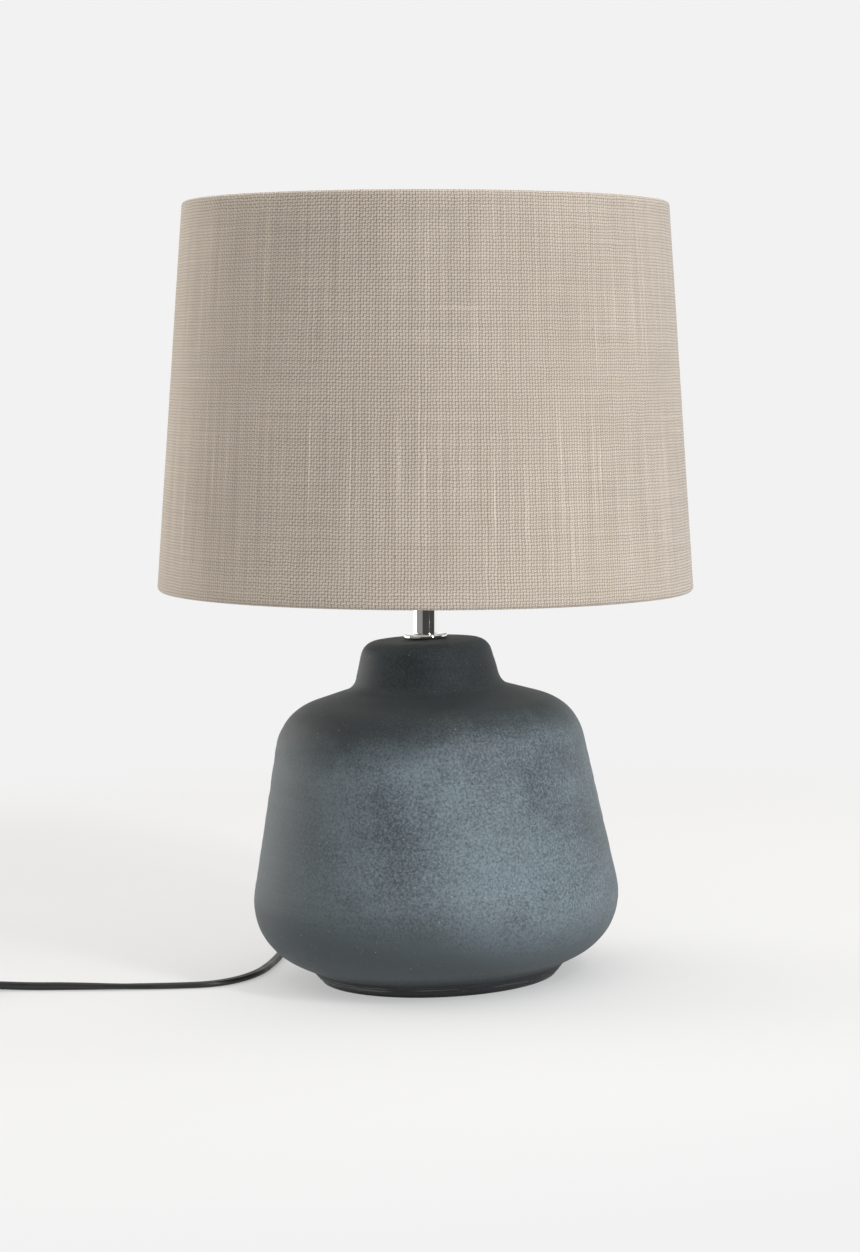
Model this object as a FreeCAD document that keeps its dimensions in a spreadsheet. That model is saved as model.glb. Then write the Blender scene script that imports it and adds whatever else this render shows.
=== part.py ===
import FreeCAD, Part
import math
import os

import PartDesign
import Sketcher
from FreeCAD import Placement, Rotation, Vector

# Table lamp: a stoneware pot on a felt pad, a short stem that leans a little out of the pot's own axis,
# an E27 lampholder with a candle bulb, and a linen drum shade on a wire carrier. A flat two-core flex
# leaves the back of the pot, passes an in-line rocker switch and ends in a flat two-pin plug.
# Millimetres, +Z up, the origin in the middle of the pot's footprint on the table, the viewer at -Y.
# Pieces above the neck are drawn in the stem's frame: its origin is the middle of the flange's top face
# and its Z axis leans towards +X.

DIMENSIONS = {
    # pot
    "padRadius": 66.5, "padThickness": 1.5,
    "footRadius": 68.5, "footJoinRadius": 72.6, "footJoinHeight": 7.5,
    "bellyCornerRadius": 107.2, "bellyCornerHeight": 25.2, "bellyRound": 36.0,
    "shoulderCornerRadius": 83.0, "shoulderCornerHeight": 151.7, "shoulderRound": 30.0,
    "neckRootRadius": 41.4, "neckRootHeight": 164.6, "neckRootRound": 9.0,
    "neckTopRadius": 34.9, "neckDrop": 0.8, "neckTopRound": 9.0,
    "seatRadius": 13.5, "seatHeight": 191.0,
    "wallInset": 7.0, "neckCeiling": 9.0, "footOpening": 52.0, "innerFootHeight": 5.0,
    "neckHoleGap": 1.0,
    "bellyIn": 1.12, "bellyUp": 0.55, "shoulderIn": 0.87, "shoulderDown": 0.78,
    "neckIn": 0.83, "neckRootDown": 0.79,
    # stem
    "stemLean": 2.3,
    "gasketRadius": 12.0, "gasketThickness": 0.8, "gasketHoleGap": 1.0,
    "flangeRadius": 12.3, "flangeThickness": 2.0, "flangeHoleGap": 0.5,
    "stemRadius": 6.7, "stemBoreGap": 0.2, "stemLength": 28.0,
    "nippleRadius": 5.0, "nippleBore": 3.5, "nippleBelow": 20.0, "nippleAbove": 8.0,
    "washerRadius": 15.0, "washerThickness": 2.0,
    "nutAcrossFlats": 14.0, "nutThickness": 3.0,
    "coreRadius": 1.3, "coreSpacing": 2.9,
    # lampholder, heights above the stem's upper end
    "collarRadius": 8.5, "collarHeight": 7.0, "capRadius": 19.5, "capWall": 1.5,
    "capFlare": 9.0, "capHeight": 26.0, "lockScrewRadius": 1.5, "lockScrewHeight": 3.6,
    "sleeveRadius": 19.75, "sleeveBore": 16.2, "sleeveGap": 0.1, "sleeveLow": 18.0,
    "shoulderRadius": 23.0, "shoulderHeight": 36.0, "shoulderThickness": 2.0, "sleeveHeight": 58.0,
    "ledgeBore": 14.0, "ledgeThickness": 1.0,
    "blockHeight": 10.0, "blockGap": 0.3, "terminalOffset": 9.0, "terminalRadius": 1.5,
    "terminalHeadRadius": 2.8, "terminalHeadHeight": 2.0, "terminalDepth": 8.0,
    "shellRadius": 13.8, "shellWall": 0.5, "shellHeight": 25.0,
    "tongueRise": 3.6, "tongueThickness": 0.5, "tongueWidth": 5.0,
    # bulb
    "contactGap": 0.3, "contactRadius": 4.5, "contactHeight": 1.0, "insulatorHeight": 2.0,
    "bulbCapGap": 0.3, "bulbCapWall": 0.4, "bulbCapHeight": 20.0,
    "bulbCollarRadius": 15.7, "bulbCollarHeight": 9.0, "bulbCollarWall": 1.2,
    "glassRadius": 17.5, "glassHalfLength": 48.0, "glassWall": 0.9, "glassCut": 21.0,
    # shade, heights above the flange
    "shadeLow": 25.0, "shadeHeight": 215.0, "shadeRadiusLow": 150.0, "shadeRadiusTop": 135.0,
    "fabricThickness": 0.8, "linerThickness": 0.6, "wireRadius": 1.5, "hemOpening": 95.0,
    "hubGap": 0.3, "hubRest": 0.05, "hubRadius": 32.0, "hubThickness": 2.0,
    "ringFlange": 28.0, "ringFlangeHeight": 2.0, "ringRadius": 24.5, "ringHeight": 10.0,
    "armRadius": 1.5, "armBendRadius": 46.0, "armWeld": 1.0,
    # flex where it leaves the pot
    "cordRadius": 2.6, "exitSlope": 35.0, "grommetRadius": 5.0, "grommetHead": 8.0,
    "grommetHeadThickness": 2.5, "grommetSeat": 0.9, "grommetTip": 3.6, "grommetReach": 20.0,
    "grommetInside": 13.0,
    "gripRadius": 6.5, "gripLength": 8.0,
    # in-line switch
    "switchLength": 58.0, "switchWidth": 24.0, "switchHeight": 16.0, "switchSplit": 8.0,
    "switchWall": 1.6, "switchRound": 6.0, "switchCordHeight": 4.0, "switchInsert": 6.0,
    "rockerLength": 18.0, "rockerWidth": 11.6, "rockerGap": 0.5, "rockerTilt": 7.0,
    "rockerPivotHeight": 11.2, "rockerProud": 1.6, "rockerDepth": 3.0,
    "pinRadius": 1.0, "pinGap": 0.05, "lugThickness": 2.0, "lugLength": 6.0,
    "switchScrewX": 20.0, "switchScrewY": 7.5, "switchScrewRadius": 1.2, "switchScrewHead": 2.3,
    "switchBossRadius": 2.5, "contactLength": 9.0, "contactWidth": 3.0, "contactThickness": 0.6,
    "contactSpacing": 13.0,
    # coil and plug
    "coilMeanRadius": 29.5, "coilWidth": 17.0, "coilHeight": 8.4, "tieThickness": 0.8, "tieWidth": 6.0,
    "plugWidth": 35.3, "plugThickness": 13.7, "plugLength": 36.0, "plugSleeve": 18.0,
    "plugPinRadius": 2.0, "plugPinSpacing": 18.6, "plugPinLength": 19.0, "plugPinInset": 8.0,
    "plugSleeveLength": 10.0, "plugSleeveRadius": 1.75, "plugCoreRadius": 1.5,
}

# The flex lies on the table along these points (x, y, z), chosen by hand.
LEAD_ROUTE = [
    (0, 122.5, 6.2), (0, 134, 2.7), (1, 157, 2.7), (-23, 184, 2.7), (-60, 185, 2.7), (-86, 160, 2.7),
    (-88, 122, 2.7), (-91, 84, 2.7), (-95, 46, 2.7), (-104, 6, 2.7), (-124, -15, 2.7), (-151, -15, 2.7),
    (-186, -11, 2.7), (-221, -5.6, 2.7), (-246, -1, 2.7),
]
LINK_ROUTE = [(-337, 9.6, 2.7), (-352, 20, 2.7), (-358.5, 37, 2.7), (-358.5, 50, 2.7)]
TAIL_ROUTE = [(-358.5, 64, 5.6), (-360, 78, 3.2), (-359, 93, 2.7), (-355, 107, 4.3)]
SWITCH_PLACE = Vector(-293, 4.3, 0)
SWITCH_TURN = -6.5
COIL_PLACE = Vector(-323.5, 57, 0)
PLUG_PLACE = Vector(-351, 119, 6.9)

document = FreeCAD.newDocument("TableLamp")
sheet = document.addObject("Spreadsheet::Sheet", "Sizes")
nodes = []


class Size:
    """A number together with the sheet expression that gives it."""

    def __init__(self, value, text):
        self.value = value
        self.text = text

    def __add__(self, other):
        return joined(self, "+", other, number(self) + number(other))

    def __radd__(self, other):
        return joined(other, "+", self, number(other) + number(self))

    def __sub__(self, other):
        return joined(self, "-", other, number(self) - number(other))

    def __rsub__(self, other):
        return joined(other, "-", self, number(other) - number(self))

    def __mul__(self, other):
        return joined(self, "*", other, number(self) * number(other))

    def __rmul__(self, other):
        return joined(other, "*", self, number(other) * number(self))

    def __truediv__(self, other):
        return joined(self, "/", other, number(self) / number(other))

    def __neg__(self):
        return joined(0, "-", self, -self.value)


def number(size):
    return size.value if isinstance(size, Size) else size


def written(size):
    return size.text if isinstance(size, Size) else repr(size)


def joined(left, sign, right, value):
    return Size(value, "(%s %s %s)" % (written(left), sign, written(right)))


def sine(angle):
    return Size(math.sin(math.radians(number(angle))), "sin(%s)" % written(angle))


def cosine(angle):
    return Size(math.cos(math.radians(number(angle))), "cos(%s)" % written(angle))


def tangent(angle):
    return Size(math.tan(math.radians(number(angle))), "tan(%s)" % written(angle))


class Sheet:
    """The driving dimensions, read as attributes."""


def fill_sheet():
    sizes = Sheet()
    for row, (alias, value) in enumerate(DIMENSIONS.items(), start=1):
        sheet.set("A%d" % row, alias)
        sheet.set("B%d" % row, str(value))
        sheet.setAlias("B%d" % row, alias)
        setattr(sizes, alias, Size(value, "Sizes." + alias))
    document.recompute()
    return sizes


def bind(thing, name, size):
    if isinstance(size, Size):
        thing.setExpression(name, size.text)
    elif name.startswith("Placement.Base."):
        base = thing.Placement.Base
        setattr(base, name[-1], size)
        thing.Placement.Base = base
    else:
        setattr(thing, name, size)


def keep(thing, label, placement=None):
    """Makes the thing a node of the lamp, in its place."""
    thing.Label = label
    if placement:
        thing.Placement = placement
    nodes.append(thing)
    return thing


# Part primitives and booleans

def cylinder(radius, low, height, x=0, y=0):
    solid = document.addObject("Part::Cylinder", "Rod")
    bind(solid, "Radius", radius)
    bind(solid, "Height", height)
    for axis, place in zip("xyz", (x, y, low)):
        bind(solid, "Placement.Base." + axis, place)
    return solid


def box(low, sides):
    solid = document.addObject("Part::Box", "Block")
    for name, side in zip(("Length", "Width", "Height"), sides):
        bind(solid, name, side)
    for axis, place in zip("xyz", low):
        bind(solid, "Placement.Base." + axis, place)
    return solid


def cut(base, tool):
    result = document.addObject("Part::Cut", "Cut")
    result.Base = base
    result.Tool = tool
    return result


def fuse(*shapes):
    result = document.addObject("Part::MultiFuse", "Fusion")
    result.Shapes = list(shapes)
    return result


def common(base, tool):
    result = document.addObject("Part::Common", "Common")
    result.Base = base
    result.Tool = tool
    return result


def tube(outer, inner, low, height, x=0, y=0):
    return cut(cylinder(outer, low, height, x, y), cylinder(inner, low - 1, height + 2, x, y))


# Bodies with sketches

def origin_plane(body, role):
    for feature in body.Origin.OriginFeatures:
        if feature.Role == role:
            return feature


def outline(body, role, corners):
    """A closed sketch of straight sides with every corner bound to the sheet."""
    sketch = body.newObject("Sketcher::SketchObject", "Outline")
    sketch.AttachmentSupport = [(origin_plane(body, role), "")]
    sketch.MapMode = "FlatFace"
    places = [Vector(number(across), number(up), 0) for across, up in corners]
    count = len(corners)
    for i in range(count):
        sketch.addGeometry(Part.LineSegment(places[i], places[(i + 1) % count]), False)
    for i in range(count):
        sketch.addConstraint(Sketcher.Constraint("Coincident", i, 2, (i + 1) % count, 1))
    for i, corner in enumerate(corners):
        for kind, axis, size in (("DistanceX", -2, corner[0]), ("DistanceY", -1, corner[1])):
            if number(size) == 0:
                sketch.addConstraint(Sketcher.Constraint("PointOnObject", i, 1, axis))
                continue
            index = sketch.addConstraint(Sketcher.Constraint(kind, -1, 1, i, 1, number(size)))
            if isinstance(size, Size):
                sketch.setExpression("Constraints[%d]" % index, size.text)
    return sketch


def turned(corners):
    """A body turned about its Z axis from an outline of (radius, height) corners."""
    body = document.addObject("PartDesign::Body", "Turned")
    sketch = outline(body, "XZ_Plane", corners)
    turn = body.newObject("PartDesign::Revolution", "Turn")
    turn.Profile = sketch
    turn.ReferenceAxis = (sketch, ["V_Axis"])
    turn.Angle = 360
    document.recompute()
    return body


def rounded(body, places, radius):
    """Rounds the body's circular edges at these (radius, height) places."""
    feature = body.Tip
    names = []
    for index, edge in enumerate(feature.Shape.Edges, start=1):
        curve = edge.Curve
        if not isinstance(curve, Part.Circle):
            continue
        for across, up in places:
            apart = abs(curve.Radius - number(across)) + abs(curve.Center.z - number(up))
            if apart < 0.01 and abs(curve.Axis.z) > 0.99:
                names.append("Edge%d" % index)
    fillet = body.newObject("PartDesign::Fillet", "Round")
    fillet.Base = (feature, names)
    bind(fillet, "Radius", radius)
    document.recompute()
    return body


def extruded(role, corners, length, midplane=True):
    """A body padded from an outline."""
    body = document.addObject("PartDesign::Body", "Extruded")
    pad = body.newObject("PartDesign::Pad", "Pad")
    pad.Profile = outline(body, role, corners)
    bind(pad, "Length", length)
    pad.Midplane = midplane
    body.Tip = pad
    document.recompute()
    return body


# Bent rods and the flex: straight runs joined by tangent arcs

def bent_path(points):
    """Returns a wire through the runs and its radii: each arc takes up to 0.45 of its shorter run."""
    places = [Vector(*point) for point in points]
    edges = []
    radii = []
    start = places[0]
    for before, corner, after in zip(places, places[1:], places[2:]):
        back = (before - corner).normalize()
        ahead = (after - corner).normalize()
        half_turn = (math.pi - back.getAngle(ahead)) / 2
        reach = 0.45 * min(before.distanceToPoint(corner), corner.distanceToPoint(after))
        radius = reach / math.tan(half_turn)
        radii.append(radius)
        inward = (back + ahead).normalize()
        middle = corner + inward * (radius / math.cos(half_turn) - radius)
        arc_start = corner + back * reach
        arc_end = corner + ahead * reach
        edges.append(Part.LineSegment(start, arc_start).toShape())
        edges.append(Part.Arc(arc_start, middle, arc_end).toShape())
        start = arc_end
    edges.append(Part.LineSegment(start, places[-1]).toShape())
    return Part.Wire(edges), radii


def bent_rod(label, points, radius):
    """A rod or flex of round section along the path; its volume is checked against its length."""
    path, radii = bent_path(points)
    ahead = Vector(*points[1]) - Vector(*points[0])
    section = Part.Wire(Part.Circle(Vector(*points[0]), ahead, number(radius)).toShape())
    solid = path.makePipeShell([section], True, True)
    expected = math.pi * number(radius) ** 2 * path.Length
    print("%s: length %.0f, volume ratio %.4f, radii %s"
          % (label, path.Length, solid.Volume / expected, " ".join("%.0f" % r for r in radii)))
    if abs(solid.Volume / expected - 1) > 0.01:
        raise ValueError("the rod %s did not sweep cleanly" % label)
    feature = document.addObject("Part::Feature", "Rod")
    feature.Shape = solid
    return feature


s = fill_sheet()
flange_top = s.seatHeight + s.gasketThickness + s.flangeThickness
stem_frame = Placement(Vector(0, 0, number(flange_top)), Rotation(Vector(0, 1, 0), number(s.stemLean)))
switch_frame = Placement(SWITCH_PLACE, Rotation(Vector(0, 0, 1), SWITCH_TURN))


def make_pot():
    foot = s.padThickness
    body = turned([
        (0, foot), (s.footRadius, foot), (s.footJoinRadius, s.footJoinHeight),
        (s.bellyCornerRadius, s.bellyCornerHeight), (s.shoulderCornerRadius, s.shoulderCornerHeight),
        (s.neckRootRadius, s.neckRootHeight), (s.neckTopRadius, s.seatHeight - s.neckDrop),
        (s.seatRadius, s.seatHeight), (0, s.seatHeight),
    ])
    rounded(body, [(s.bellyCornerRadius, s.bellyCornerHeight)], s.bellyRound)
    rounded(body, [(s.shoulderCornerRadius, s.shoulderCornerHeight)], s.shoulderRound)
    rounded(body, [(s.neckRootRadius, s.neckRootHeight)], s.neckRootRound)
    rounded(body, [(s.neckTopRadius, s.seatHeight - s.neckDrop)], s.neckTopRound)

    inset = s.wallInset
    # each inner corner is moved in and up or down by shares of the wall, along the bisector there
    inner_belly = (s.bellyCornerRadius - s.bellyIn * inset, s.bellyCornerHeight + s.bellyUp * inset)
    shoulder_height = s.shoulderCornerHeight - s.shoulderDown * inset
    inner_shoulder = (s.shoulderCornerRadius - s.shoulderIn * inset, shoulder_height)
    inner_neck = (s.neckRootRadius - s.neckIn * inset, s.neckRootHeight - s.neckRootDown * inset)
    ceiling = s.seatHeight - s.neckCeiling
    neck_hole = s.nippleRadius + s.neckHoleGap
    cavity = turned([
        (0, foot - 1), (s.footOpening, foot - 1), (s.footOpening, s.innerFootHeight), inner_belly,
        inner_shoulder, inner_neck, (s.neckTopRadius - s.neckRootRound / 2, ceiling),
        (neck_hole, ceiling), (neck_hole, s.seatHeight + 1), (0, s.seatHeight + 1),
    ])
    rounded(cavity, [inner_belly], s.bellyRound - inset)
    rounded(cavity, [inner_shoulder], s.shoulderRound - inset)
    return cut(body, cavity)


def exit_point(along):
    """The (y, z) of a point on the flex's way out, measured from where it crosses the pot's outer face."""
    # the belly's round is centred where both its tangent lines are one radius away
    rise = number(s.bellyCornerHeight - s.footJoinHeight)
    run = number(s.bellyCornerRadius - s.footJoinRadius)
    under = math.atan2(rise, run)
    fall = number(s.shoulderCornerRadius - s.bellyCornerRadius)
    side = math.atan2(number(s.shoulderCornerHeight - s.bellyCornerHeight), fall)
    half = (side - under) / 2
    away = number(s.bellyRound) / math.cos(half)
    bisector = (under + side + math.pi) / 2
    centre_y = number(s.bellyCornerRadius) + away * math.cos(bisector)
    centre_z = number(s.bellyCornerHeight) + away * math.sin(bisector)
    slope = math.radians(number(s.exitSlope))
    reach = number(s.bellyRound) + along
    return centre_y + reach * math.cos(slope), centre_z - reach * math.sin(slope)


def exit_frame():
    """Z runs out of the pot along the flex, from the pot's outer face."""
    y, z = exit_point(0)
    return Placement(Vector(0, y, z), Rotation(Vector(1, 0, 0), -90 - number(s.exitSlope)))


def make_pot_and_foot():
    bore = cylinder(s.grommetRadius, -30, 60)
    bore.Placement = exit_frame().multiply(Placement(Vector(0, 0, -30), Rotation()))
    keep(cut(make_pot(), bore), "pot")
    keep(cylinder(s.padRadius, 0, s.padThickness), "base_pad")

    head = s.grommetHead
    head_top = s.grommetSeat + s.grommetHeadThickness
    grommet = turned([
        (s.cordRadius, -s.grommetInside), (s.grommetRadius, -s.grommetInside),
        (s.grommetRadius, s.grommetSeat),
        (head, s.grommetSeat), (head - 1, head_top), (s.grommetRadius, head_top),
        (s.grommetTip, s.grommetReach), (s.cordRadius, s.grommetReach),
    ])
    keep(grommet, "cord_grommet", exit_frame())


def make_neck():
    gasket_hole = s.nippleRadius + s.gasketHoleGap
    keep(tube(s.gasketRadius, gasket_hole, s.seatHeight, s.gasketThickness), "neck_gasket")
    flange_low = s.seatHeight + s.gasketThickness
    keep(tube(s.flangeRadius, s.nippleRadius + s.flangeHoleGap, flange_low, s.flangeThickness), "neck_flange")
    ceiling = s.seatHeight - s.neckCeiling
    washer_low = ceiling - s.washerThickness
    washer_hole = s.nippleRadius + s.neckHoleGap
    keep(tube(s.washerRadius, washer_hole, washer_low, s.washerThickness), "inner_washer")

    keep(tube(s.nippleRadius, s.nippleBore, -s.nippleBelow, s.nippleBelow + s.stemLength + s.nippleAbove),
         "threaded_nipple", stem_frame)
    # the nut leans with the nipple, so one of its corners meets the level washer first
    corner_radius = s.nutAcrossFlats / math.sqrt(3)
    nut_top = (washer_low - flange_top - corner_radius * sine(s.stemLean)) / cosine(s.stemLean) - 0.02
    hexagon = document.addObject("Part::Prism", "Hexagon")
    hexagon.Polygon = 6
    bind(hexagon, "Circumradius", corner_radius)
    bind(hexagon, "Height", s.nutThickness)
    bind(hexagon, "Placement.Base.z", nut_top - s.nutThickness)
    bore = cylinder(s.nippleRadius, nut_top - s.nutThickness - 1, s.nutThickness + 2)
    keep(cut(hexagon, bore), "neck_nut", stem_frame)

    # the stem's foot is cut level, to stand on the flange
    dip = s.stemRadius * tangent(s.stemLean) + 0.5
    blank = tube(s.stemRadius, s.nippleRadius + s.stemBoreGap, -dip, s.stemLength + dip)
    level = box((-20, -20, -5), (40, 40, 5))
    turn_back = Rotation(Vector(0, 1, 0), -number(s.stemLean))
    level.Placement = Placement(turn_back.multVec(Vector(-20, -20, -5)), turn_back)
    keep(cut(blank, level), "stem_tube", stem_frame)

    low = -s.nippleBelow - 2
    top = s.stemLength + s.sleeveLow - 0.5
    cores = [cylinder(s.coreRadius, low, top - low, x=side * s.coreSpacing / 2) for side in (-1, 1)]
    keep(fuse(*cores), "flex_cores", stem_frame)


def make_lampholder():
    base = s.stemLength
    wall = s.capWall
    collar_top = base + s.collarHeight
    flare_top = collar_top + s.capFlare
    cap_top = base + s.capHeight
    cap = turned([
        (s.nippleRadius, base), (s.collarRadius, base), (s.collarRadius, collar_top),
        (s.capRadius, flare_top), (s.capRadius, cap_top), (s.capRadius - wall, cap_top),
        (s.capRadius - wall, flare_top + 1), (s.collarRadius - 0.3, collar_top + 2),
        (s.nippleRadius, collar_top + 2),
    ])
    screw_wall = s.collarRadius - s.nippleRadius
    screw_bore = cylinder(s.lockScrewRadius, 0, screw_wall + 2)
    lock_screw = cylinder(s.lockScrewRadius, 0, screw_wall)
    sideways = Rotation(Vector(1, 0, 0), -90)
    foot = Vector(0, number(s.nippleRadius), number(base + s.lockScrewHeight))
    screw_bore.Placement = Placement(foot, sideways)
    keep(cut(cap, screw_bore), "holder_cap", stem_frame)
    slot = box((-0.4, -3, number(screw_wall) - 0.8), (0.8, 6, 2))
    lock = cut(lock_screw, slot)
    keep(lock, "holder_lock_screw", stem_frame.multiply(Placement(foot, sideways)))

    inside_cap = s.capRadius - wall - s.sleeveGap
    sleeve_low = base + s.sleeveLow
    shoulder = base + s.shoulderHeight
    ledge = sleeve_low + s.ledgeThickness
    sleeve = turned([
        (s.ledgeBore, sleeve_low), (inside_cap, sleeve_low), (inside_cap, cap_top),
        (s.sleeveRadius, cap_top), (s.sleeveRadius, shoulder), (s.shoulderRadius, shoulder),
        (s.shoulderRadius, shoulder + s.shoulderThickness), (s.sleeveRadius, shoulder + s.shoulderThickness),
        (s.sleeveRadius, base + s.sleeveHeight), (s.sleeveBore, base + s.sleeveHeight),
        (s.sleeveBore, ledge), (s.ledgeBore, ledge),
    ])
    keep(sleeve, "holder_body", stem_frame)

    block_top = ledge + s.blockHeight
    holes = [cylinder(s.terminalRadius, ledge - 1, s.terminalDepth + 1, x=side * s.terminalOffset)
             for side in (-1, 1)]
    block = cylinder(s.sleeveBore - s.blockGap, ledge, s.blockHeight)
    keep(cut(block, fuse(*holes)), "contact_block", stem_frame)

    screws = []
    for side in (-1, 1):
        x = side * s.terminalOffset
        screws.append(cylinder(s.terminalRadius, ledge - 0.5, s.terminalDepth + 0.5, x=x))
        screws.append(cylinder(s.terminalHeadRadius, ledge - s.terminalHeadHeight, s.terminalHeadHeight, x=x))
    keep(fuse(*screws), "terminal_screws", stem_frame)

    tongue_top = block_top + s.tongueRise
    thick = s.tongueThickness
    tongue = extruded("XZ_Plane", [
        (-9, block_top), (-3, block_top), (3, tongue_top - thick), (4, tongue_top - thick),
        (4, tongue_top), (2.6, tongue_top), (-3.2, block_top + thick), (-9, block_top + thick),
    ], s.tongueWidth)
    keep(tongue, "centre_contact", stem_frame)
    shell = tube(s.shellRadius, s.shellRadius - s.shellWall, block_top, s.shellHeight)
    keep(shell, "screw_shell", stem_frame)
    return tongue_top


def make_bulb(tongue_top):
    pip = tongue_top + s.contactGap
    insulator = pip + s.contactHeight
    disc = turned([(0, pip), (s.contactRadius, pip), (s.contactRadius, insulator), (0, insulator)])
    keep(disc, "bulb_contact", stem_frame)
    cap_radius = s.shellRadius - s.shellWall - s.bulbCapGap
    cap_inside = cap_radius - s.bulbCapWall
    cap_low = insulator + s.insulatorHeight
    cone = turned([
        (0, insulator), (s.contactRadius + 1, insulator), (cap_inside, cap_low), (cap_inside, cap_low + 2),
        (0, cap_low + 2),
    ])
    keep(cone, "bulb_insulator", stem_frame)
    keep(tube(cap_radius, cap_inside, cap_low, s.bulbCapHeight), "bulb_cap", stem_frame)
    cap_top = cap_low + s.bulbCapHeight
    collar_top = cap_top + s.bulbCollarHeight
    collar_wall = s.bulbCollarWall
    collar = turned([
        (cap_inside - collar_wall, cap_top - 6), (cap_inside, cap_top - 6), (cap_inside, cap_top),
        (cap_radius, cap_top), (s.bulbCollarRadius, collar_top),
        (s.bulbCollarRadius - collar_wall, collar_top), (cap_inside - collar_wall, cap_top),
    ])
    keep(collar, "bulb_collar", stem_frame)

    middle = collar_top + s.glassCut
    shells = []
    for inset in (0, s.glassWall):
        shell = document.addObject("Part::Ellipsoid", "Envelope")
        bind(shell, "Radius1", s.glassHalfLength - inset)
        bind(shell, "Radius2", s.glassRadius - inset)
        bind(shell, "Placement.Base.z", middle)
        shells.append(shell)
    room = cylinder(s.glassRadius + 5, collar_top, s.glassCut + s.glassHalfLength + 5)
    keep(common(cut(*shells), room), "bulb_glass", stem_frame)


def shade_wall():
    """The shade's hem centres and the unit vector that points out of its sloping wall."""
    hem = number(s.wireRadius + s.fabricThickness)
    low, top = number(s.shadeLow), number(s.shadeLow + s.shadeHeight)
    radius_low, radius_top = number(s.shadeRadiusLow), number(s.shadeRadiusTop)
    slope = math.atan2(radius_low - radius_top, top - low)
    outward = Vector(math.cos(slope), 0, math.sin(slope))
    centre_low = Vector(radius_low - hem, 0, low + hem)
    centre_top = Vector(radius_top - hem, 0, top - hem)
    return centre_low, centre_top, outward


def turned_about(centre, vector, degrees):
    return centre + Rotation(Vector(0, -1, 0), degrees).multVec(vector)


def make_shade(shoulder_top):
    centre_low, centre_top, outward = shade_wall()
    inner = number(s.wireRadius)
    outer = inner + number(s.fabricThickness)
    wrap = 360 - number(s.hemOpening)

    def arc(centre, radius, start, end):
        ends = [turned_about(centre, outward * radius, angle) for angle in (start, (start + end) / 2, end)]
        return Part.Arc(*ends).toShape()

    def line(start, end):
        return Part.LineSegment(start, end).toShape()

    # the cloth's section: one straight wall, and at each end a hem rolled round the wire
    points = {}
    for name, centre, way in (("low", centre_low, -1), ("top", centre_top, 1)):
        for side, radius in (("inner", inner), ("outer", outer)):
            points[name, side, "start"] = centre + outward * radius
            points[name, side, "end"] = turned_about(centre, outward * radius, way * wrap)
    section = Part.Wire([
        line(points["low", "outer", "start"], points["top", "outer", "start"]),
        arc(centre_top, outer, 0, wrap),
        line(points["top", "outer", "end"], points["top", "inner", "end"]),
        arc(centre_top, inner, wrap, 0),
        line(points["top", "inner", "start"], points["low", "inner", "start"]),
        arc(centre_low, inner, 0, -wrap),
        line(points["low", "inner", "end"], points["low", "outer", "end"]),
        arc(centre_low, outer, -wrap, 0),
    ])
    cloth = document.addObject("Part::Feature", "Cloth")
    cloth.Shape = Part.Face(section).revolve(Vector(0, 0, 0), Vector(0, 0, 1), 360)
    keep(cloth, "shade_fabric", stem_frame)

    # the liner stands against the cloth's inner face, between the two hems
    edge = outer + 0.5
    face_low = centre_low + outward * inner + Vector(0, 0, edge)
    face_top = centre_top + outward * inner - Vector(0, 0, edge)
    lean = (centre_top.x - centre_low.x) / (centre_top.z - centre_low.z)
    face_low.x += lean * edge
    face_top.x -= lean * edge
    back = outward * -number(s.linerThickness)
    sheet_section = [face_low, face_top, face_top + back, face_low + back]
    liner = document.addObject("Part::Feature", "Liner")
    closed = Part.makePolygon(sheet_section + sheet_section[:1])
    liner.Shape = Part.Face(closed).revolve(Vector(0, 0, 0), Vector(0, 0, 1), 360)
    keep(liner, "shade_liner", stem_frame)

    hem = s.wireRadius + s.fabricThickness
    for label, radius, height in (("bottom_wire", s.shadeRadiusLow - hem, s.shadeLow + hem),
                                  ("top_wire", s.shadeRadiusTop - hem, s.shadeLow + s.shadeHeight - hem)):
        wire = document.addObject("Part::Torus", "Wire")
        bind(wire, "Radius1", radius)
        bind(wire, "Radius2", s.wireRadius)
        keep(wire, label, stem_frame.multiply(Placement(Vector(0, 0, number(height)), Rotation())))

    bore = s.sleeveRadius + s.hubGap
    keep(tube(s.hubRadius, bore, shoulder_top, s.hubThickness), "shade_hub", stem_frame)
    ring_low = shoulder_top + s.hubThickness
    ring = turned([
        (bore, ring_low), (s.ringFlange, ring_low), (s.ringFlange, ring_low + s.ringFlangeHeight),
        (s.ringRadius, ring_low + s.ringFlangeHeight), (s.ringRadius, ring_low + s.ringHeight),
        (bore, ring_low + s.ringHeight),
    ])
    keep(ring, "shade_ring", stem_frame)

    hub_middle = number(shoulder_top + s.hubThickness / 2)
    reach = number(s.armWeld)
    wire_inside = centre_low.x - inner
    wire_level = centre_low.z + number(s.armRadius)
    arm_line = [
        (number(s.hubRadius) - reach, 0, hub_middle), (number(s.armBendRadius), 0, hub_middle),
        (wire_inside - 22, 0, wire_level + 5), (wire_inside + reach, 0, centre_low.z),
    ]
    for index in range(3):
        label = "spider_arm_%d" % (index + 1)
        arm = bent_rod(label, arm_line, s.armRadius)
        around = Placement(Vector(), Rotation(Vector(0, 0, 1), 90 + 120 * index))
        keep(arm, label, stem_frame.multiply(around))


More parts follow.
